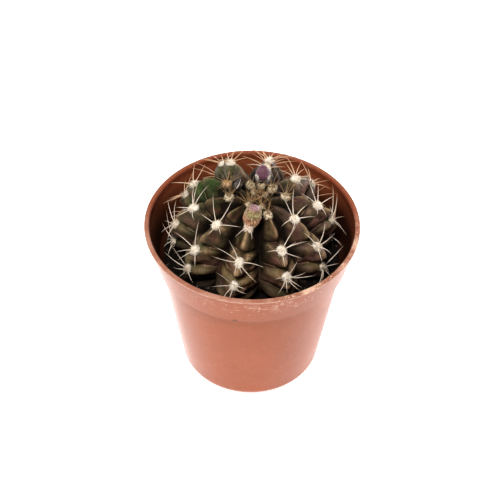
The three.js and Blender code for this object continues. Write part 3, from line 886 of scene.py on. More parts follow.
def crumb_recipe():
    """Scatters rough crumbs over the faces of a bed that look up."""
    inputs = {"Density": 1.0, "Size": 0.001, "Lowest": 0.0, "Inner edge": 0.0, "Seed": 0}
    tree = Recipe("Soil crumbs", inputs)
    bed = tree.given("Geometry")
    x, y, z = tree.parts(tree.node("GeometryNodeInputPosition"))
    reach = (x * x + y * y) ** 0.5
    open_bed = z.above(tree.given("Lowest")) * reach.above(tree.given("Inner edge"))
    crumb = tree.node("GeometryNodeMeshIcoSphere", {"Radius": 1.0, "Subdivisions": 1})
    turn = tree.random_vector((0, 0, 0), (6.28, 6.28, 6.28), 11)
    share = tree.random_vector((0.25, 0.2, 0.15), (1.1, 0.8, 0.6), 12)
    size = tree.node("ShaderNodeVectorMath", {0: share, "Scale": tree.given("Size")}, operation="SCALE")
    crumbs = tree.copies(tree.points_on(bed, open_bed), crumb, turn, size)
    return tree.finish(tree.both(bed, crumbs))


PEAT_FIBRE = (0.036, 0.022, 0.012)
PALE_CRUMB = (0.14, 0.11, 0.08)


def soil_finish(settings):
    """Dark peat: near-black crumbs with brown fibres and a few pale ones."""
    base = tuple(settings.colour)
    paint = Finish("soil", tinted(base, 0.6))
    fine = paint.noise(2.2, 5, rough=0.7)
    paint.layer(fine.step(0.35, 0.75), tinted(base, 1.7))
    chance = paint.chance(paint.cells(1.6))
    paint.layer(chance.step(0.9, 0.96) * 0.5, PEAT_FIBRE)
    paint.layer(chance.pick("Green").step(0.975, 0.985) * 0.4, PALE_CRUMB)
    return paint.surface(0.95, 0.08, Normal=paint.bump(fine, 0.3 * MM, 0.7))


# Plant body


LEAN = Matrix.Rotation(PLANT_LEAN_RIGHT, 3, "Y") @ Matrix.Rotation(PLANT_LEAN_FORWARD, 3, "X")
LEAN_ARRAY = np.array(LEAN)
CENTRE_ARRAY = np.array(PLANT_CENTRE)


def to_pot(points):
    """Points from the plant's own frame to the pot's."""
    return points @ LEAN_ARRAY.T + CENTRE_ARRAY


def rib_bearing(rib):
    return math.radians(FIRST_RIB_BEARING + 360 / RIB_COUNT * rib + RIBS[rib][0])


def shell_point(down, bearing):
    """Points of the smooth shell, at angles down from the crown."""
    power = 2 / SHELL_ROUNDNESS
    sine = np.abs(np.sin(np.radians(down))) ** power
    cosine = np.cos(np.radians(down))
    height = SHELL_HALF_HEIGHT * np.sign(cosine) * np.abs(cosine) ** power
    return circle(SHELL_RADIUS * sine, bearing, height)


def shell_normal(down, bearing):
    point = shell_point(down, np.zeros_like(down))
    power = SHELL_ROUNDNESS - 1
    across = (np.abs(point[..., 0]) / SHELL_RADIUS) ** power / SHELL_RADIUS
    up = np.sign(point[..., 2]) * (np.abs(point[..., 2]) / SHELL_HALF_HEIGHT) ** power / SHELL_HALF_HEIGHT
    normal = np.stack([across * np.cos(bearing), across * np.sin(bearing), up + 0 * bearing], -1)
    return normal / np.linalg.norm(normal, axis=-1, keepdims=True)


def areole_angles(rib):
    """A rib's areoles, with more of them by rule below the last one that is given."""
    angles = list(RIBS[rib][1])
    while angles[-1] < LAST_RIBBED_ANGLE:
        angles.append(angles[-1] + LOWER_AREOLE_STEP)
    return angles


def tubercle_share(rib, across, down):
    """How far down its tubercle a point lies, from 0 to 1, and which tubercle it is.
    The grooves between tubercles sweep up from the crest to the valleys."""
    down = down + GROOVE_SWEEP * np.abs(across) ** 1.5 * smoothstep(15, 40, down)
    grooves = [0.0] + [angle - GROOVE_ABOVE_AREOLE for angle in areole_angles(rib)[1:]]
    grooves = np.array(grooves)
    cell = np.clip(np.searchsorted(grooves, down, side="left") - 1, 0, len(grooves) - 2)
    share = np.clip((down - grooves[cell]) / (grooves[cell + 1] - grooves[cell]), 0, 1)
    return share, cell


def depth_under_shell(rib, across, down):
    """How deep the skin lies under the shell, across a rib (-1 to 1) and down it."""
    edge = np.abs(across)
    bow = 1 - np.sqrt(1 - RIB_ROUNDNESS * edge * edge)
    valley = 0.65 * edge ** (1.4 + 0.7 * smoothstep(45, 75, down)) + 0.35 * bow
    valley_depth = RIB_DEPTH * (0.42 + 0.58 * smoothstep(10, 45, down)) * smoothstep(1, 12, down)
    valley_depth = valley_depth * (1 - 0.28 * smoothstep(60, 85, down))
    fade = 1 - smoothstep(100, LAST_RIBBED_ANGLE, down)
    share, _ = tubercle_share(rib, across, down)
    flank = smoothstep(0.1, 0.5, edge)
    swell = 1 - np.abs(2 * share ** (1.25 - 0.65 * flank) - 1) ** (5 - 2.5 * flank)
    groove = CROSS_GROOVE * (1 - swell) * (1 - edge**4) * smoothstep(8, 45, down)
    chin = CHIN * np.exp(-(((share - 0.78) / 0.15) ** 2)) * np.exp(-((across / 0.25) ** 2))
    dip = CROWN_DIP * np.exp(-((down / 10) ** 2))
    return (valley * valley_depth + groove - chin * smoothstep(10, 30, down)) * fade + dip


def plant_point(rib, across, down):
    """Points of the ribbed skin in the plant's own frame."""
    half = math.pi / RIB_COUNT
    turn = [math.radians(entry[0]) for entry in RIBS]
    after = half + (turn[(rib + 1) % RIB_COUNT] - turn[rib]) / 2
    before = half + (turn[rib] - turn[rib - 1]) / 2
    bearing = rib_bearing(rib) + across * np.where(across >= 0, after, before)
    normal = shell_normal(down, bearing)
    return shell_point(down, bearing) - normal * depth_under_shell(rib, across, down)[..., None]


def near_areole(rib, across, down):
    """1 at a rib's areoles and falling to 0 about two millimetres from them."""
    angles = np.array(areole_angles(rib))
    along = np.abs(down[..., None] - angles).min(axis=-1) * math.pi / 180 * SHELL_RADIUS
    aside = across * math.pi / RIB_COUNT * SHELL_RADIUS * np.sin(np.radians(down))
    return np.exp(-(along**2 + aside**2) / (1.1 * MM) ** 2)


def skin_relief(points, share, edge):
    """Small swellings and creases of the skin, outward, in metres."""
    grain = points / MM
    soft = 0.45 * lattice_noise(grain * 0.24, 21) + 0.4 * lattice_noise(grain * 0.46, 22)
    wander = 0.13 * lattice_noise(grain * 0.16, 23)
    strength = 0.75 + 0.7 * lattice_noise(grain * 0.13, 24)
    flank = smoothstep(0.12, 0.35, edge)

    def fold(centre, width):
        return np.exp(-(((share + wander - centre) / width) ** 2))

    ledge = (0.4 * fold(0.24, 0.16) - 0.4 * fold(0.52, 0.17)) * strength
    crease = np.abs(lattice_noise(grain * (0.42, 0.42, 0.3), 25))
    crumple = 0.3 * (smoothstep(0.0, 0.6, crease) - 0.55)
    nose = np.exp(-((edge / 0.11) ** 2)) * smoothstep(0.32, 0.6, share) * smoothstep(0.98, 0.92, share)
    return (soft + (ledge + crumple) * flank + nose * 0.5) * MM


def lowered_chin(rib, across, down):
    """How much lower the skin lies round the one low chin."""
    low_rib, angle, depth = LOW_CHIN
    return depth * np.exp(-(((down - angle) / 8) ** 2) - (across / 0.4) ** 2) * (rib == low_rib)


def plant_mesh():
    """Rings of the plant's skin in the pot's frame, with what the skin's colours follow."""
    ribbed = LAST_RIBBED_ANGLE - FIRST_RING_ANGLE
    angles = FIRST_RING_ANGLE + ribbed * np.linspace(0, 1, PLANT_RINGS)
    across = 2 * np.arange(COLUMNS_PER_RIB) / COLUMNS_PER_RIB - 1
    down, over = np.meshgrid(angles, across, indexing="ij")
    sheets = {"point": [], "edge": [], "share": [], "down": [], "tone": [], "height": []}
    tone = random_from(TONE_SEED)
    for rib in range(RIB_COUNT):
        point = plant_point(rib, over, down)
        share, cell = tubercle_share(rib, over, down)
        relief = skin_relief(point.reshape(-1, 3) + 0.1 * rib, share.ravel(), np.abs(over).ravel())
        relief = relief.reshape(down.shape) * smoothstep(6, 25, down) * (1 - np.abs(over) ** 6)
        relief = relief * (1 - 0.85 * near_areole(rib, over, down))
        normal = shell_normal(down, rib_bearing(rib) + over * math.pi / RIB_COUNT)
        point = point + normal * (relief - lowered_chin(rib, over, down))[..., None]
        tones = np.array([tone() for _ in range(TONES_PER_RIB)])
        height = 0.5 + relief / RELIEF_RANGE
        made = (to_pot(point), np.abs(over), share, down / 180, tones[cell], height)
        for sheet, part in zip(sheets.values(), made):
            sheet.append(part)
    grids = {label: np.concatenate(parts, axis=1) for label, parts in sheets.items()}
    return {label: grid.reshape(-1, *grid.shape[2:]) for label, grid in grids.items()}


def plant_body(finish):
    """The plant's body: its skin, its crown's middle above and its root neck below."""
    grids = plant_mesh()
    columns = RIB_COUNT * COLUMNS_PER_RIB
    bearing = rib_bearing(0) - math.pi / RIB_COUNT + 2 * math.pi * np.arange(columns) / columns
    neck = [to_pot(circle(radius, bearing, z)) for radius, z in NECK]
    crown = to_pot(plant_point(0, np.zeros(1), np.zeros(1)))
    end = to_pot(np.array([[0, 0, ROOT_END]]))
    vertices = np.concatenate([crown, grids.pop("point"), *neck, end])
    hidden = np.full(len(neck) * columns + 1, 0.9)
    values = {}
    for label, grid in grids.items():
        crown_value = 0.0 if label in ("edge", "down") else 0.5
        values[label] = np.concatenate([[crown_value], grid, hidden])
    return new_piece("cactus_body", vertices, ring_faces(PLANT_RINGS + len(neck), columns), finish, values)


# Colours on the skin, besides those of the settings
LEFT_SKIN = (0.036, 0.045, 0.026)
MAUVE = (0.095, 0.052, 0.050)
MOSS = (0.085, 0.082, 0.035)
REAR_LEFT_SKIN = (0.036, 0.046, 0.024)
REAR_RIGHT_SKIN = (0.058, 0.036, 0.032)
DEEP_VALLEY_SHADE = (0.0052, 0.0030, 0.0016)
LOW_VALLEY_SHADE = (0.022, 0.010, 0.0055)
SUNK_SHADE = (0.010, 0.0065, 0.0048)


def plant_finish(settings):
    """Waxy brown-olive skin: olive above the areoles and reddish below them, with soft tan ledges
    and ridges, painted light low in front, painted highlight on raised skin, and painted shade that makes
    the grooves near-black and darkens the skin deep in the pot."""
    skin, band, blush = tuple(settings.skin), tuple(settings.band), tuple(settings.blush)
    paint = Finish("cactus_skin", tinted(skin, 0.75, 1.1, 0.85))
    edge, share, down, tone, height = map(paint.attribute, ("edge", "share", "down", "tone", "height"))
    x, y, z = paint.parts(paint.place)
    cloud = paint.noise(0.28, 4, rough=0.6)
    mottle = paint.noise(0.9, 5, rough=0.62)
    fine = paint.noise(5.0, 3, rough=0.6)
    hue = paint.noise(0.42, 3)
    grit = paint.noise(2.1, 3, rough=0.6)

    # The skin's ground, with painted light low in front, greener on the left and darker near the crown
    lit = down.step(0.28, 0.4) * y.step(0, -9)
    left = x.step(-8, -14) * y.step(6, 0)
    right = x.step(2, 16)
    paint.layer(hue.step(0.42, 0.56), tinted(skin, 1.4, 0.85, 1))
    paint.layer(cloud.step(0.5, 0.36) * 0.75, tinted(skin, 0.25))
    paint.layer(cloud.step(0.5, 0.64) * 0.7, tinted(skin, 2.5))
    paint.layer(lit * 0.65, tinted(skin, 3.1, 2.5, 2.3))
    paint.layer(left * 0.5, LEFT_SKIN)
    paint.layer(down.step(0.34, 0.24) * share.step(0.75, 0.4) * 0.65, tinted(skin, 0.22))

    # Green places at the rear, and reddish flanks
    leafy = (x + 11.5).hump(0, 8) * (y - 5).hump(0, 8) * 1.5
    leafy += (x + 6).hump(0, 7) * (y - 12).hump(0, 8) * 0.6 + (x - 11).hump(0, 5) * (y - 9).hump(0, 6) * 0.7
    leafy = leafy * (cloud.step(0.36, 0.56) * 0.4 + 0.45)
    leafy += share.step(0.5, 0.2) * down.step(0.2, 0.3) * mottle.step(0.4, 0.6) * 0.35
    paint.layer(leafy.at_most(0.92), tuple(settings.green))
    flush = (share + (cloud - 0.5) * 0.6).hump(0.66, 0.42) * edge.step(0.08, 0.35)
    flush = flush * (down.step(0.2, 0.34) + right * 0.6)
    flush = flush * (mottle.step(0.3, 0.6) * 0.6 + 0.25) * (0.5 + tone * 0.25 + right * 0.45)
    paint.layer(flush.at_most(0.9), blush)

    # Tan ledges and noses, and painted highlight on the swellings
    drift = (mottle - 0.5) * 0.35 + (cloud - 0.5) * 0.5
    ledge = (share + drift).hump(0.22, 0.34) * edge.step(0.95, 0.3) * edge.step(0.02, 0.25)
    ledge = ledge * (0.3 + tone * 0.6) * down.step(0.12, 0.28) * (0.1 + mottle.step(0.3, 0.65) * 0.6)
    ledge = ledge * (1 - down.step(0.36, 0.46) * 0.45)
    flare = edge + share.step(0.6, 0.95) * -0.1 + (mottle - 0.5) * 0.16
    nose = flare.step(0.14, -0.04) * share.step(0.3, 0.65) * share.step(0.98, 0.88)
    nose = nose * (0.4 + tone * 0.6) * (0.35 + down.step(0.16, 0.3) * 0.65)
    raised_highlight = height.step(0.5, 1.05) * mottle.step(0.25, 0.65) * edge.step(0.95, 0.4)
    # pale holds the tan bands and ridges and the painted highlight on raised skin
    pale = ledge + nose * 0.95 + raised_highlight * 0.75
    pale = pale * down.step(0.04, 0.12) * (1 - leafy.step(0.1, 0.9) * 0.75) * (1 - left * 0.5)
    paint.layer(pale.at_most(1.0), band)

    # Mauve, mossy and duller places, grit and specks
    low = down.step(0.34, 0.44)
    mauve = (low * hue.step(0.45, 0.6) * share.step(0.35, 0.6)).at_least(right * hue.step(0.42, 0.55))
    paint.layer(mauve * 0.5, MAUVE)
    paint.layer(low * hue.step(0.52, 0.4) * share.step(0.6, 0.3) * 0.4, MOSS)
    rear = paint.mix(x.step(-3, 3), REAR_LEFT_SKIN, REAR_RIGHT_SKIN)
    paint.layer(y.step(5, 11) * 0.6 * height.step(1.1, 0.5), rear)
    paint.layer(grit.step(0.52, 0.7) * 0.18, tinted(band, 0.7))
    paint.layer(grit.step(0.48, 0.32) * 0.28, tinted(skin, 0.35))
    paint.layer(paint.cells(3.6).step(0.3, 0.1) * 0.15 * fine.step(0.4, 0.6), tinted(band, 0.9))

    # Painted shade in the valleys, grooves and hollows, and on the skin that stands deep in the pot
    fissure = share.step(0.86, 1.0) + share.step(0.1, 0.0)
    hollow = height.step(0.38, -0.05) * 0.8 + down.step(0.2, 0.1) * edge.step(0.08, 0.3) * 0.5
    shade = (edge - lit * 0.08).step(0.4, 0.9) + fissure * 0.8 + hollow
    shade = (shade * down.step(0.02, 0.1)).at_most(1.0)
    foot = down.step(0.32, 0.46)
    paint.layer(shade * (0.97 - foot * 0.2), paint.mix(foot, DEEP_VALLEY_SHADE, LOW_VALLEY_SHADE))
    # Painted shade on the skin that stands deep in the pot, more on the left
    sunk_shade = z.step(44.5, 41.5) * 0.65 + z.step(43, 40.5) * left * 0.28
    paint.layer(sunk_shade, SUNK_SHADE)
    relief = paint.bump(fine, 0.05 * MM, 0.6)
    relief = paint.bump(mottle * 0.8 + grit * 0.2, 0.4 * MM, 0.5, below=relief)
    return paint.surface(0.36 + mottle * 0.2 + shade * 0.3, 0.17, Normal=relief, IOR=1.35)


# Areoles


def seat_on(rib, down):
    """Where an areole or bud sits: its point, its directions in the pot's frame and its spines."""
    _, angles_given, fans = RIBS[rib]
    angles = np.array([down, down + 4.0, down - 4.0])
    at, lower, upper = plant_point(rib, np.zeros(3), angles)
    downhill = (lower - upper) / np.linalg.norm(lower - upper)
    bearing = rib_bearing(rib)
    sideways = np.array([-math.sin(bearing), math.cos(bearing), 0])
    outward = np.cross(downhill, sideways)
    outward /= np.linalg.norm(outward)
    old_size = YOUNG_WOOL_SHARE if down < YOUNG_BELOW else 1.0
    return {
        "at": Vector(to_pot(at)),
        "downhill": LEAN @ Vector(downhill),
        "sideways": LEAN @ Vector(sideways),
        "outward": LEAN @ Vector(outward),
        "fan": SPINE_FANS[fans[angles_given.index(down) if down in angles_given else -1]],
        "young": down < YOUNG_BELOW,
        "size": CROWN_WOOL_SHARE if down < CROWN_BELOW else old_size,
    }


def areoles():
    """The seats of all areoles that stand clear of the soil, and those in the crown."""
    seats = []
    for rib in range(RIB_COUNT):
        for down in areole_angles(rib):
            seat = seat_on(rib, down)
            if seat["at"].z > SOIL_LEVEL + 1.2 * MM:
                seats.append(seat)
            if (rib, down) == LOW_AREOLE[:2]:
                seat["at"] += seat["downhill"] * LOW_AREOLE[2]
    return seats + [seat_on(rib, CROWN_AREOLE_ANGLE) for rib in CROWN_AREOLES]


def wool_cushions(seats, finish):
    """One lumpy cushion for each areole, in one mesh."""
    angle = np.linspace(0, 2 * math.pi, CUSHION_SIDES, endpoint=False)
    turn, tilt = np.meshgrid(angle, np.linspace(0, math.pi, CUSHION_RINGS + 2)[1:-1])
    ball = circle(np.sin(tilt), turn, np.cos(tilt))
    ball = np.concatenate([[[0, 0, 1]], ball.reshape(-1, 3), [[0, 0, -1]]])
    vertices, faces, ages, middles = [], [], [], []
    for number, seat in enumerate(seats):
        frame_of = np.array([
            np.array(seat["downhill"]) * 0.5 * WOOL_LENGTH * seat["size"],
            np.array(seat["sideways"]) * 0.5 * WOOL_WIDTH * seat["size"],
            np.array(seat["outward"]) * WOOL_HEIGHT,
        ])
        swell = 1 + 0.16 * lattice_noise(ball * 1.8 + 7 * number, 31)
        faces += ring_faces(CUSHION_RINGS, CUSHION_SIDES, start=len(vertices))
        vertices += list(np.array(seat["at"]) + (ball * swell[:, None]) @ frame_of)
        ages += [float(seat["young"])] * len(ball)
        middles += list(ball[:, 2])
    return new_piece("areole_wool", vertices, faces, finish, {"young": ages, "middle": middles})


def wool_recipe():
    """Covers cushions with short curved fibres that stand out of them."""
    tree = Recipe("Wool fibres", {"Density": 1.0, "Length": 0.001, "Thickness": 0.00004, "Seed": 0})
    cushions = tree.given("Geometry")
    points = tree.points_on(cushions)
    line, _ = tree.stem(4, lambda along: along * along * 0.55)
    fibre = tree.swept(line, 3, tree.given("Thickness") / tree.given("Length"))
    lean = tree.random_vector((-1.0, -1.0, -3.14), (1.0, 1.0, 3.14), 5)
    sockets = {"Rotation": points.pick("Rotation"), "Rotate By": lean}
    turn = tree.node("FunctionNodeRotateRotation", sockets, rotation_space="LOCAL")
    sockets = {"Min_001": 0.45, "Max_001": 1.15, "Seed": 6}
    share = tree.node("FunctionNodeRandomValue", sockets, data_type="FLOAT")
    fibres = tree.copies(points, fibre, turn, share * tree.given("Length"))
    return tree.finish(tree.both(cushions, fibres))


WOOL_STAIN = (0.085, 0.040, 0.014)
UPPER_WOOL = (0.66, 0.49, 0.30)
CROWN_WOOL = (0.85, 0.68, 0.42)
CROWN_GAPS = (0.055, 0.030, 0.012)
BUD_FOOT_WOOL = (0.36, 0.20, 0.12)
SHADED_WOOL = (0.30, 0.19, 0.10)
RUSTY_WOOL = (0.46, 0.23, 0.08)


def wool_finish(settings):
    """Cream-white felted wool with a few brown specks."""
    base = tuple(settings.colour)
    paint = Finish("areole_wool", tinted(base, 0.72, 0.66, 0.58))
    x, y, z = paint.parts(paint.place)
    reach = (x * x + y * y) ** 0.5
    young = paint.attribute("young")
    paint.layer(paint.noise(1.1, 4, rough=0.65).step(0.35, 0.6), base)
    paint.layer(young * 0.75, tuple(settings.young))
    stain = paint.noise(2.0, 3, rough=0.6)
    core = (paint.attribute("middle") + (stain - 0.5) * 0.5).step(0.72, 0.95)
    stain = stain.step(0.5, 0.58) * (young * 0.75 + 0.18) + core * (young * 0.75 + 0.05)
    paint.layer(stain.at_most(0.9), WOOL_STAIN)
    paint.layer(reach.step(15, 9) * 0.2, UPPER_WOOL)
    crown = reach.step(8, 5)
    tangle = paint.noise(3.4, 3, rough=0.6)
    paint.layer(crown * tangle.step(0.5, 0.4) * 0.8, CROWN_WOOL)
    paint.layer(crown * tangle.step(0.5, 0.58) * 0.85, CROWN_GAPS)
    under_bud = (x + 0.9).hump(0, 3.5) * (y + 11.8).hump(0, 3.5)
    paint.layer(under_bud * tangle.step(0.45, 0.55) * 0.8, BUD_FOOT_WOOL)
    paint.layer(z.step(53, 48) * abs(x).step(13, 17) * 0.42, SHADED_WOOL)
    paint.layer((x + 6.4).hump(0, 3.5) * (y - 1.5).hump(0, 3.5) * 0.75, RUSTY_WOOL)
    return paint.surface(0.92, 0.2, Normal=paint.bump(paint.noise(6, 3), 0.12 * MM, 0.7))


# Spines


def clear_of_pot(point):
    """Moves a point of a spine clear of the pot's wall and the soil."""
    plan = math.hypot(point.x, point.y)
    wall = SPINE_PLAN_LIMIT
    if point.z < POT_HEIGHT + 0.5 * MM:
        wall = min(wall, pot_inner_radius(point.z) - SPINE_WALL_GAP)
    shrink = min(1, wall / plan)
    floor = SOIL_LEVEL + SOIL_LUMP + SPINE_SOIL_GAP
    return Vector((point.x * shrink, point.y * shrink, max(point.z, floor)))


def spine_line(seat, bearing, rise, length):
    """A spine's root and tip, from its turn round the areole, its rise and its length in mm."""
    angle, lift = math.radians(bearing), math.radians(rise)
    flat = seat["downhill"] * math.cos(angle) + seat["sideways"] * math.sin(angle)
    aim = flat * math.cos(lift) + seat["outward"] * math.sin(lift)
    return seat["at"].copy(), clear_of_pot(seat["at"] + aim * length * MM), seat["outward"]


def spines_of(seat, random):
    """The spines that an areole has in the solid too: its fan, or a few upright ones if it is young."""
    fan, usual_rise, spread = seat["fan"], SPINE_RISE, GROWN_SPREAD
    if seat["young"]:
        bearings = [360 / YOUNG_SPINES * (index + 0.5) for index in range(YOUNG_SPINES)]
        fan = [(bearing, YOUNG_SPINE_LENGTH) for bearing in bearings]
        usual_rise, spread = YOUNG_SPINE_RISE, YOUNG_SPREAD
    for bearing, length in fan:
        turn, tilt, stretch = ((2 * random() - 1) * reach for reach in spread)
        yield spine_line(seat, bearing + turn, usual_rise + tilt, length * (1 + stretch))


def extra_spines_of(seat, random):
    """Thin young spines that the finished piece has besides those of the solid."""
    if seat["young"]:
        for _ in range(EXTRA_YOUNG_SPINES):
            rise = EXTRA_RISE[0] + EXTRA_RISE[1] * random()
            bearing = 360 * random()
            yield spine_line(seat, bearing, rise, EXTRA_LENGTH[0] + EXTRA_LENGTH[1] * random())


def misses_buds(line):
    """True where a spine stays clear of every bud."""
    root, tip = line[:2]
    for bud in BUDS.values():
        inverse = bud_frame(bud).inverted()
        for share in (0.25, 0.5, 0.75, 1):
            point = inverse @ root.lerp(tip, share)
            across = math.hypot(point.x, point.y) / (0.5 * bud["width"] + SPINE_BUD_GAP)
            up = (point.z - 0.5 * bud["height"]) / (0.5 * bud["height"] + SPINE_BUD_GAP)
            if math.hypot(across, up) <= 1:
                return False
    return True


def spine_roots(name, lines, random, thickness):
    """A mesh of single points, one for each spine, that holds how each spine is turned and sized."""
    turns, sizes = [], []
    for root, tip, outward in lines:
        z = (tip - root).normalized()
        x = (-outward + z * z.dot(outward)).normalized()
        x = Matrix.Rotation(SPINE_ROLL * (2 * random() - 1), 3, z) @ x
        turns.append(Matrix((x, z.cross(x), z)).transposed().to_euler("XYZ"))
        girth = thickness * (0.85 + 0.3 * random())
        sizes.append((girth, girth, (tip - root).length))
    mesh = bpy.data.meshes.new(name)
    mesh.from_pydata([tuple(line[0]) for line in lines], [], [])
    for label, values in (("turn", turns), ("size", sizes)):
        layer = mesh.attributes.new(label, "FLOAT_VECTOR", "POINT")
        layer.data.foreach_set("vector", np.array(values, np.float32).ravel())
    return linked(name, mesh)


def spine_recipe():
    """Stands a tapered, gently bent spine on each point, turned and sized by its attributes."""
    tree = Recipe("Spines", {"Radius": 0.0002, "Bend": 0.0, "Segments": 8, "Sides": 6})
    bend = tree.given("Bend")
    line, along = tree.stem(tree.given("Segments"), lambda along: (along * along - along * 0.5) * bend)
    sockets = {"Geometry": line, "Name": "along", "Value": along}
    line = tree.node("GeometryNodeStoreNamedAttribute", sockets, data_type="FLOAT", domain="POINT")
    taper = (1.02 - along) ** 0.7
    shaft = tree.swept(line, tree.given("Sides"), tree.given("Radius"), Scale=taper)
    turn, size = (
        tree.node("GeometryNodeInputNamedAttribute", {"Name": name}, data_type="FLOAT_VECTOR")
        for name in ("turn", "size")
    )
    turn = tree.node("FunctionNodeEulerToRotation", {"Euler": turn})
    return tree.finish(tree.copies(tree.given("Geometry"), shaft, turn, size))


REAR_SPINE = (0.72, 0.38, 0.18)
HORN_FOOT = (0.52, 0.38, 0.22)
HORN_TIP = (0.36, 0.22, 0.12)
YOUNG_FOOT = (0.5, 0.38, 0.2)
YOUNG_TIP = (0.12, 0.06, 0.03)


def spine_finish(name, colour, foot, tip):
    """Horn-like spines, with their own colours at the foot and the tip."""
    paint = Finish(name, tinted(colour, 0.86))
    along = paint.attribute("along")
    _, y, _ = paint.parts(paint.place)
    paint.layer(paint.noise(1.2, 3).step(0.3, 0.7), colour)
    paint.layer(along.step(0.3, 0.0) * 0.8, foot)
    paint.layer(along.step(0.72, 1.0) * 0.75, tip)
    paint.layer(y.step(1, 11) * 0.85, REAR_SPINE)
    return paint.surface(0.42, 0.5, Normal=paint.bump(paint.noise(7, 2), 0.03 * MM, 0.4))


# Flower buds


def bud_frame(bud):
    """The place of a bud's foot, with the bud's own axis upward."""
    seat = seat_on(bud["rib"], bud["down"])
    foot = seat["at"] - seat["outward"] * BUD_SINK
    to_the_right = Matrix.Rotation(math.radians(bud["right"]), 4, "Y")
    forward = Matrix.Rotation(math.radians(bud["forward"]), 4, "X")
    return Matrix.Translation(foot) @ to_the_right @ forward


def bud_scales(bud, share, bearing):
    """Radius of a bud, how near the upper edge of its outermost scale a point is, and that scale's row."""
    body = 0.5 * bud["width"] * np.sin(math.pi * (0.16 + 0.84 * share ** bud["waist"])) ** bud["slender"]
    cover = np.zeros_like(share)
    nearness = np.full_like(share, 1.0)
    top_row = np.full_like(share, SCALE_ROWS)
    for row in reversed(range(SCALE_ROWS)):
        phase = bud["scales"] * bearing / (2 * math.pi) + row / 2 + bud["turn"]
        from_tip = np.abs(2 * (phase - np.floor(phase)) - 1)
        edge = 0.28 + 0.62 * row / (SCALE_ROWS - 1) - bud["notch"] * (from_tip**1.6 - 0.1)
        cover += SCALE_THICKNESS * smoothstep(-0.012, 0.012, edge - share)
        outer = share < edge
        nearness = np.where(outer, edge - share, nearness)
        top_row = np.where(outer, row, top_row)
    radius = body - SCALE_ROWS * SCALE_THICKNESS * 0.5 * (1 - share) + cover
    return radius, nearness, top_row / SCALE_ROWS


def bud_piece(name, bud, finish):
    """One bud, with its height, how near a scale's edge each point is, its scale's row and the side
    it lies on: right is 1 on the right side, ahead is 1 toward the viewer."""
    share = 1 - np.arange(1, BUD_RINGS) / BUD_RINGS
    bearing = np.linspace(0, 2 * math.pi, BUD_SIDES, endpoint=False)
    heights, bearings = np.meshgrid(share, bearing, indexing="ij")
    radius, nearness, row = bud_scales(bud, heights, bearings)
    rings = circle(radius, bearings, heights * bud["height"])
    points = np.concatenate([[[0, 0, bud["height"]]], rings.reshape(-1, 3), [[0, 0, 0]]])
    place = np.array(bud_frame(bud))
    points = points @ place[:3, :3].T + place[:3, 3]

    def whole(top, grid, bottom):
        return np.concatenate([[top], grid.ravel(), [bottom]])

    values = {
        "height": whole(1, heights, 0),
        "margin": whole(1, nearness, 1),
        "row": whole(1, row, 0),
        "right": whole(0, np.cos(bearings), 0),
        "ahead": whole(0, -np.sin(bearings), 0),
    }
    return new_piece(name, points, ring_faces(BUD_RINGS - 1, BUD_SIDES), finish, values)


BROWN_COLLAR = (0.16, 0.060, 0.050)
OLIVE_HEART = (0.33, 0.31, 0.10)
GOLD = (0.56, 0.38, 0.17)
DARK_SEAM = (0.13, 0.045, 0.03)
PALE_EDGE = (0.62, 0.36, 0.26)
DARK_FIBRE = (0.10, 0.042, 0.022)
STRAW_FIBRE = (0.72, 0.50, 0.32)
PALE_FOOT = (0.74, 0.60, 0.42)


def pale_bud_finish(settings):
    """Olive heart and pink tip over fibrous red-brown scales that turn salmon at the foot."""
    paint = Finish("bud_pale", tuple(settings.foot))
    height, margin, ahead = map(paint.attribute, ("height", "margin", "ahead"))
    x, y, z = paint.parts(paint.place)
    fibre = paint.noise(3.0, 3, paint.join(x, y, z * 0.25), rough=0.6)
    patch = paint.noise(0.9, 3, rough=0.6)
    paint.layer(height.step(0.42, 0.62), tuple(settings.middle))
    paint.layer(height.step(0.76, 0.92) * 0.8, BROWN_COLLAR)
    paint.layer(ahead.step(0.25, 0.8) * height.hump(0.74, 0.24) * 0.9, OLIVE_HEART)
    paint.layer(height.step(0.55, 0.3) * patch.step(0.45, 0.6) * 0.6, GOLD)
    paint.layer(height.step(0.85, 0.96) * patch.step(0.3, 0.5) * 0.65, tuple(settings.tip))
    paint.layer(margin.hump(0.07, 0.05) * 0.7, DARK_SEAM)
    paint.layer(margin.step(0.03, 0.01) * 0.4, PALE_EDGE)
    paint.layer(fibre.step(0.5, 0.58) * 0.7, DARK_FIBRE)
    paint.layer(fibre.step(0.44, 0.34) * 0.55, STRAW_FIBRE)
    paint.layer(height.step(0.2, 0.08) * 0.6, PALE_FOOT)
    return paint.surface(0.5, 0.3, Normal=paint.bump(fibre, 0.14 * MM, 0.7))


BLACK_SCALE = (0.012, 0.008, 0.009)
COVERED_SCALE = (0.014, 0.009, 0.010)
WHITE_FRINGE = (0.84, 0.76, 0.70)
WHITE_STREAK = (0.82, 0.76, 0.70)


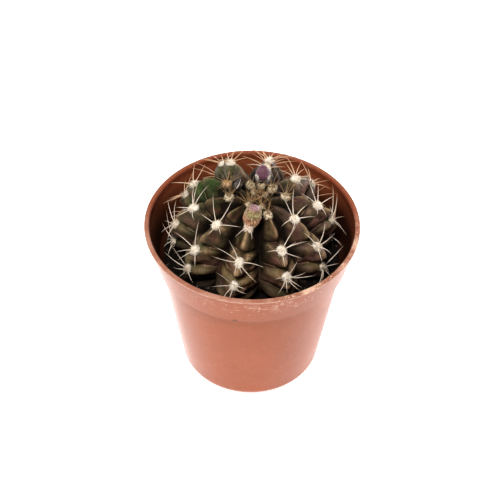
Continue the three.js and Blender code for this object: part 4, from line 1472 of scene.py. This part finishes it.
def purple_bud_finish(name, tip, streak):
    """Dusky tip over near-black scales, the outer ones edged in white, and a white streak if wanted."""
    tip = tuple(tip)
    paint = Finish(name, BLACK_SCALE)
    height, margin, row, right = map(paint.attribute, ("height", "margin", "row", "right"))
    speck = paint.noise(2.2, 4, rough=0.7)
    upper = height.step(0.42, 0.6)
    paint.layer(upper, tip)
    paint.layer(speck.step(0.45, 0.62) * 0.6 * upper, tinted(tip, 0.6, 0.8, 0.4))
    paint.layer(speck.step(0.4, 0.3) * 0.5 * upper, tinted(tip, 2.0))
    covered = row.step(0.62, 0.5)
    paint.layer(covered * 0.85, COVERED_SCALE)
    flank = abs(right).step(0.35, 0.8)
    fringe = margin.step(0.11, 0.02) * covered * height.step(0.25, 0.4) * (0.15 + flank * 0.85)
    fringe += flank.hump(0.85, 0.35) * height.hump(0.45, 0.32) * (speck.step(0.3, 0.55) * 0.5 + 0.5)
    paint.layer(fringe.at_most(1.0) * (0.9 - streak * 0.75), WHITE_FRINGE)
    if streak:
        line = (right - height * 0.5 + 0.45).hump(0, 0.28) * paint.attribute("ahead").step(0.2, 0.5)
        paint.layer(line * height.step(0.2, 0.4) * 0.9, WHITE_STREAK)
    return paint.surface(0.5, 0.3, Normal=paint.bump(speck, 0.1 * MM, 0.6))


# Stage


def aim_at(place, target, roll=0.0):
    """The place and turn of a lamp or camera that looks at a target."""
    back = (place - target).normalized()
    side = Vector((0, 0, 1)).cross(back).normalized()
    up = back.cross(side)
    right = side * math.cos(roll) + up * math.sin(roll)
    above = up * math.cos(roll) - side * math.sin(roll)
    turned = Matrix((right, above, back)).transposed().to_4x4()
    return Matrix.Translation(place) @ turned


def area_light(name, place, target_height, size, power, colour):
    light = bpy.data.lights.new(name, "AREA")
    light.shape = "DISK"
    light.size = size
    light.energy = power
    light.color = colour
    linked(name, light).matrix_world = aim_at(Vector(place), Vector((0, 0, target_height)))


def floor_finish():
    paint = Finish("white_ground", (0.9, 0.9, 0.9))
    return paint.surface(0.8, 0.1, Emission_Color=(1, 1, 1, 1), Emission_Strength=0.9)


def studio_world():
    world = bpy.data.worlds.new("studio")
    world.use_nodes = True
    background = world.node_tree.nodes["Background"]
    background.inputs["Color"].default_value = (1, 1, 1, 1)
    background.inputs["Strength"].default_value = WORLD_STRENGTH
    return world


def photo_camera(settings):
    """The camera at the photograph's viewing angle."""
    back = Vector((0, -math.cos(settings.elevation), math.sin(settings.elevation)))
    data = bpy.data.cameras.new("camera")
    data.sensor_width = 36
    data.lens = settings.lens
    data.clip_start = 0.01
    data.clip_end = 20
    camera = linked("camera", data)
    camera.matrix_world = aim_at(CAMERA_AIM + back * settings.distance, CAMERA_AIM, settings.roll)
    return camera


# Operators


class CACTUS_OT_pot(bpy.types.Operator):
    """Turn the pot with its collar, lip, foot ring and drain holes"""

    bl_idname = "cactus.pot"
    bl_label = "Pot"

    def execute(self, context):
        finish = pot_finish(context.scene.cactus_pot)
        profile, inside = pot_profile()
        piece = lathe("nursery_pot", profile, POT_SIDES, finish, inside)
        drill(piece, drain_cutters())
        declare(piece, "pot_plastic", "pot")
        return {"FINISHED"}


class CACTUS_OT_soil(bpy.types.Operator):
    """Fill the pot with peat and scatter crumbs over it"""

    bl_idname = "cactus.soil"
    bl_label = "Soil"

    def execute(self, context):
        settings = context.scene.cactus_soil
        finish = soil_finish(settings)
        vertices, rings = soil_vertices()
        piece = new_piece("peat_soil", vertices, ring_faces(rings, SOIL_SIDES), finish)
        crumb_recipe().apply(piece, {
            "Density": settings.density, "Size": settings.grain, "Lowest": LOWEST_CRUMB,
            "Inner edge": CRUMBS_FROM_RADIUS, "Seed": CRUMB_SEED, "Finish": finish,
        })
        declare(piece, "soil", "soil")
        return {"FINISHED"}


class CACTUS_OT_body(bpy.types.Operator):
    """Grow the plant's ribbed body"""

    bl_idname = "cactus.body"
    bl_label = "Plant body"

    def execute(self, context):
        piece = plant_body(plant_finish(context.scene.cactus_plant))
        declare(piece, "cactus_skin", "cactus")
        return {"FINISHED"}


class CACTUS_OT_wool(bpy.types.Operator):
    """Cover every areole with a cushion of felted wool"""

    bl_idname = "cactus.wool"
    bl_label = "Areole wool"

    def execute(self, context):
        settings = context.scene.cactus_wool
        finish = wool_finish(settings)
        piece = wool_cushions(areoles(), finish)
        wool_recipe().apply(piece, {
            "Density": settings.density, "Length": settings.fibre, "Thickness": FIBRE_THICKNESS,
            "Seed": FIBRE_SEED, "Finish": finish,
        })
        declare(piece, "areole_wool", "cactus")
        return {"FINISHED"}


class CACTUS_OT_spines(bpy.types.Operator):
    """Stand the grown spines and the young brown ones in the areoles"""

    bl_idname = "cactus.spines"
    bl_label = "Spines"

    def execute(self, context):
        settings = context.scene.cactus_spines
        random, more = random_from(SPINE_SEED), random_from(EXTRA_SPINE_SEED)
        grown, young = [], []
        for seat in areoles():
            lines = [*spines_of(seat, random), *extra_spines_of(seat, more)]
            (young if seat["young"] else grown).extend(filter(misses_buds, lines))
        recipe = spine_recipe()
        pale = spine_finish("spine", tuple(settings.colour), HORN_FOOT, HORN_TIP)
        brown = spine_finish("young_spine", tuple(settings.young), YOUNG_FOOT, YOUNG_TIP)
        sets = (("spines", grown, 1.0, pale), ("young_spines", young, YOUNG_SPINE_GIRTH, brown))
        for name, lines, thickness, finish in sets:
            piece = spine_roots(name, lines, more, thickness)
            recipe.apply(piece, {
                "Radius": settings.radius, "Bend": settings.bend, "Segments": SPINE_SEGMENTS,
                "Sides": SPINE_SIDES, "Finish": finish,
            })
            declare(piece, "spine", "cactus")
        return {"FINISHED"}


class CACTUS_OT_buds(bpy.types.Operator):
    """Set the three flower buds on their ribs"""

    bl_idname = "cactus.buds"
    bl_label = "Flower buds"

    def execute(self, context):
        settings = context.scene.cactus_buds
        finishes = {
            "front": (pale_bud_finish(settings), "bud_pale"),
            "back": (purple_bud_finish("bud_purple", settings.purple, 0), "bud_purple"),
            "small": (purple_bud_finish("bud_dark", settings.dark, 1), "bud_purple"),
        }
        for name, bud in BUDS.items():
            finish, slot = finishes[name]
            declare(bud_piece("bud_" + name, bud, finish), slot, "flower_bud_" + name)
        return {"FINISHED"}


class CACTUS_OT_stage(bpy.types.Operator):
    """Set the white ground, the soft lights and the camera"""

    bl_idname = "cactus.stage"
    bl_label = "Stage"

    def execute(self, context):
        bpy.ops.mesh.primitive_plane_add(size=6, location=(0, 0, 0))
        floor = context.active_object
        floor.name = "ground"
        floor.data.materials.append(floor_finish())
        floor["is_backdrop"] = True
        for light in LIGHTS:
            area_light(*light)
        scene = context.scene
        scene.world = studio_world()
        scene.view_settings.view_transform = "Standard"
        scene.camera = photo_camera(scene.cactus_stage)
        return {"FINISHED"}


GROUPS = {
    "cactus_pot": PotSettings,
    "cactus_soil": SoilSettings,
    "cactus_plant": PlantSettings,
    "cactus_spines": SpineSettings,
    "cactus_wool": WoolSettings,
    "cactus_buds": BudSettings,
    "cactus_stage": StageSettings,
}
OPERATORS = (
    CACTUS_OT_pot, CACTUS_OT_soil, CACTUS_OT_body, CACTUS_OT_wool,
    CACTUS_OT_spines, CACTUS_OT_buds, CACTUS_OT_stage,
)


class CACTUS_PT_panel(bpy.types.Panel):
    """Lists what can be made, with its settings"""

    bl_idname = "CACTUS_PT_panel"
    bl_label = "Potted cactus"
    bl_space_type = "VIEW_3D"
    bl_region_type = "UI"
    bl_category = "Cactus"

    def draw(self, context):
        for operator in OPERATORS:
            self.layout.operator(operator.bl_idname)
        for label, group in GROUPS.items():
            box = self.layout.box()
            for name in group.__annotations__:
                box.prop(getattr(context.scene, label), name)


def register():
    for group in (*GROUPS.values(), *OPERATORS, CACTUS_PT_panel):
        bpy.utils.register_class(group)
    for label, group in GROUPS.items():
        setattr(bpy.types.Scene, label, bpy.props.PointerProperty(type=group))


def unregister():
    for label in GROUPS:
        delattr(bpy.types.Scene, label)
    for group in (CACTUS_PT_panel, *reversed(OPERATORS), *GROUPS.values()):
        bpy.utils.unregister_class(group)


def main():
    solid_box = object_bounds()
    register()
    bpy.ops.cactus.pot()
    bpy.ops.cactus.soil()
    bpy.ops.cactus.body()
    bpy.ops.cactus.wool()
    bpy.ops.cactus.spines()
    bpy.ops.cactus.buds()
    bpy.ops.cactus.stage()
    boxes = {"solids": solid_box, "scene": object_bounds()}
    {name: [list(corner) for corner in box] for name, box in boxes.items()}


if __name__ == "__main__":
    main()
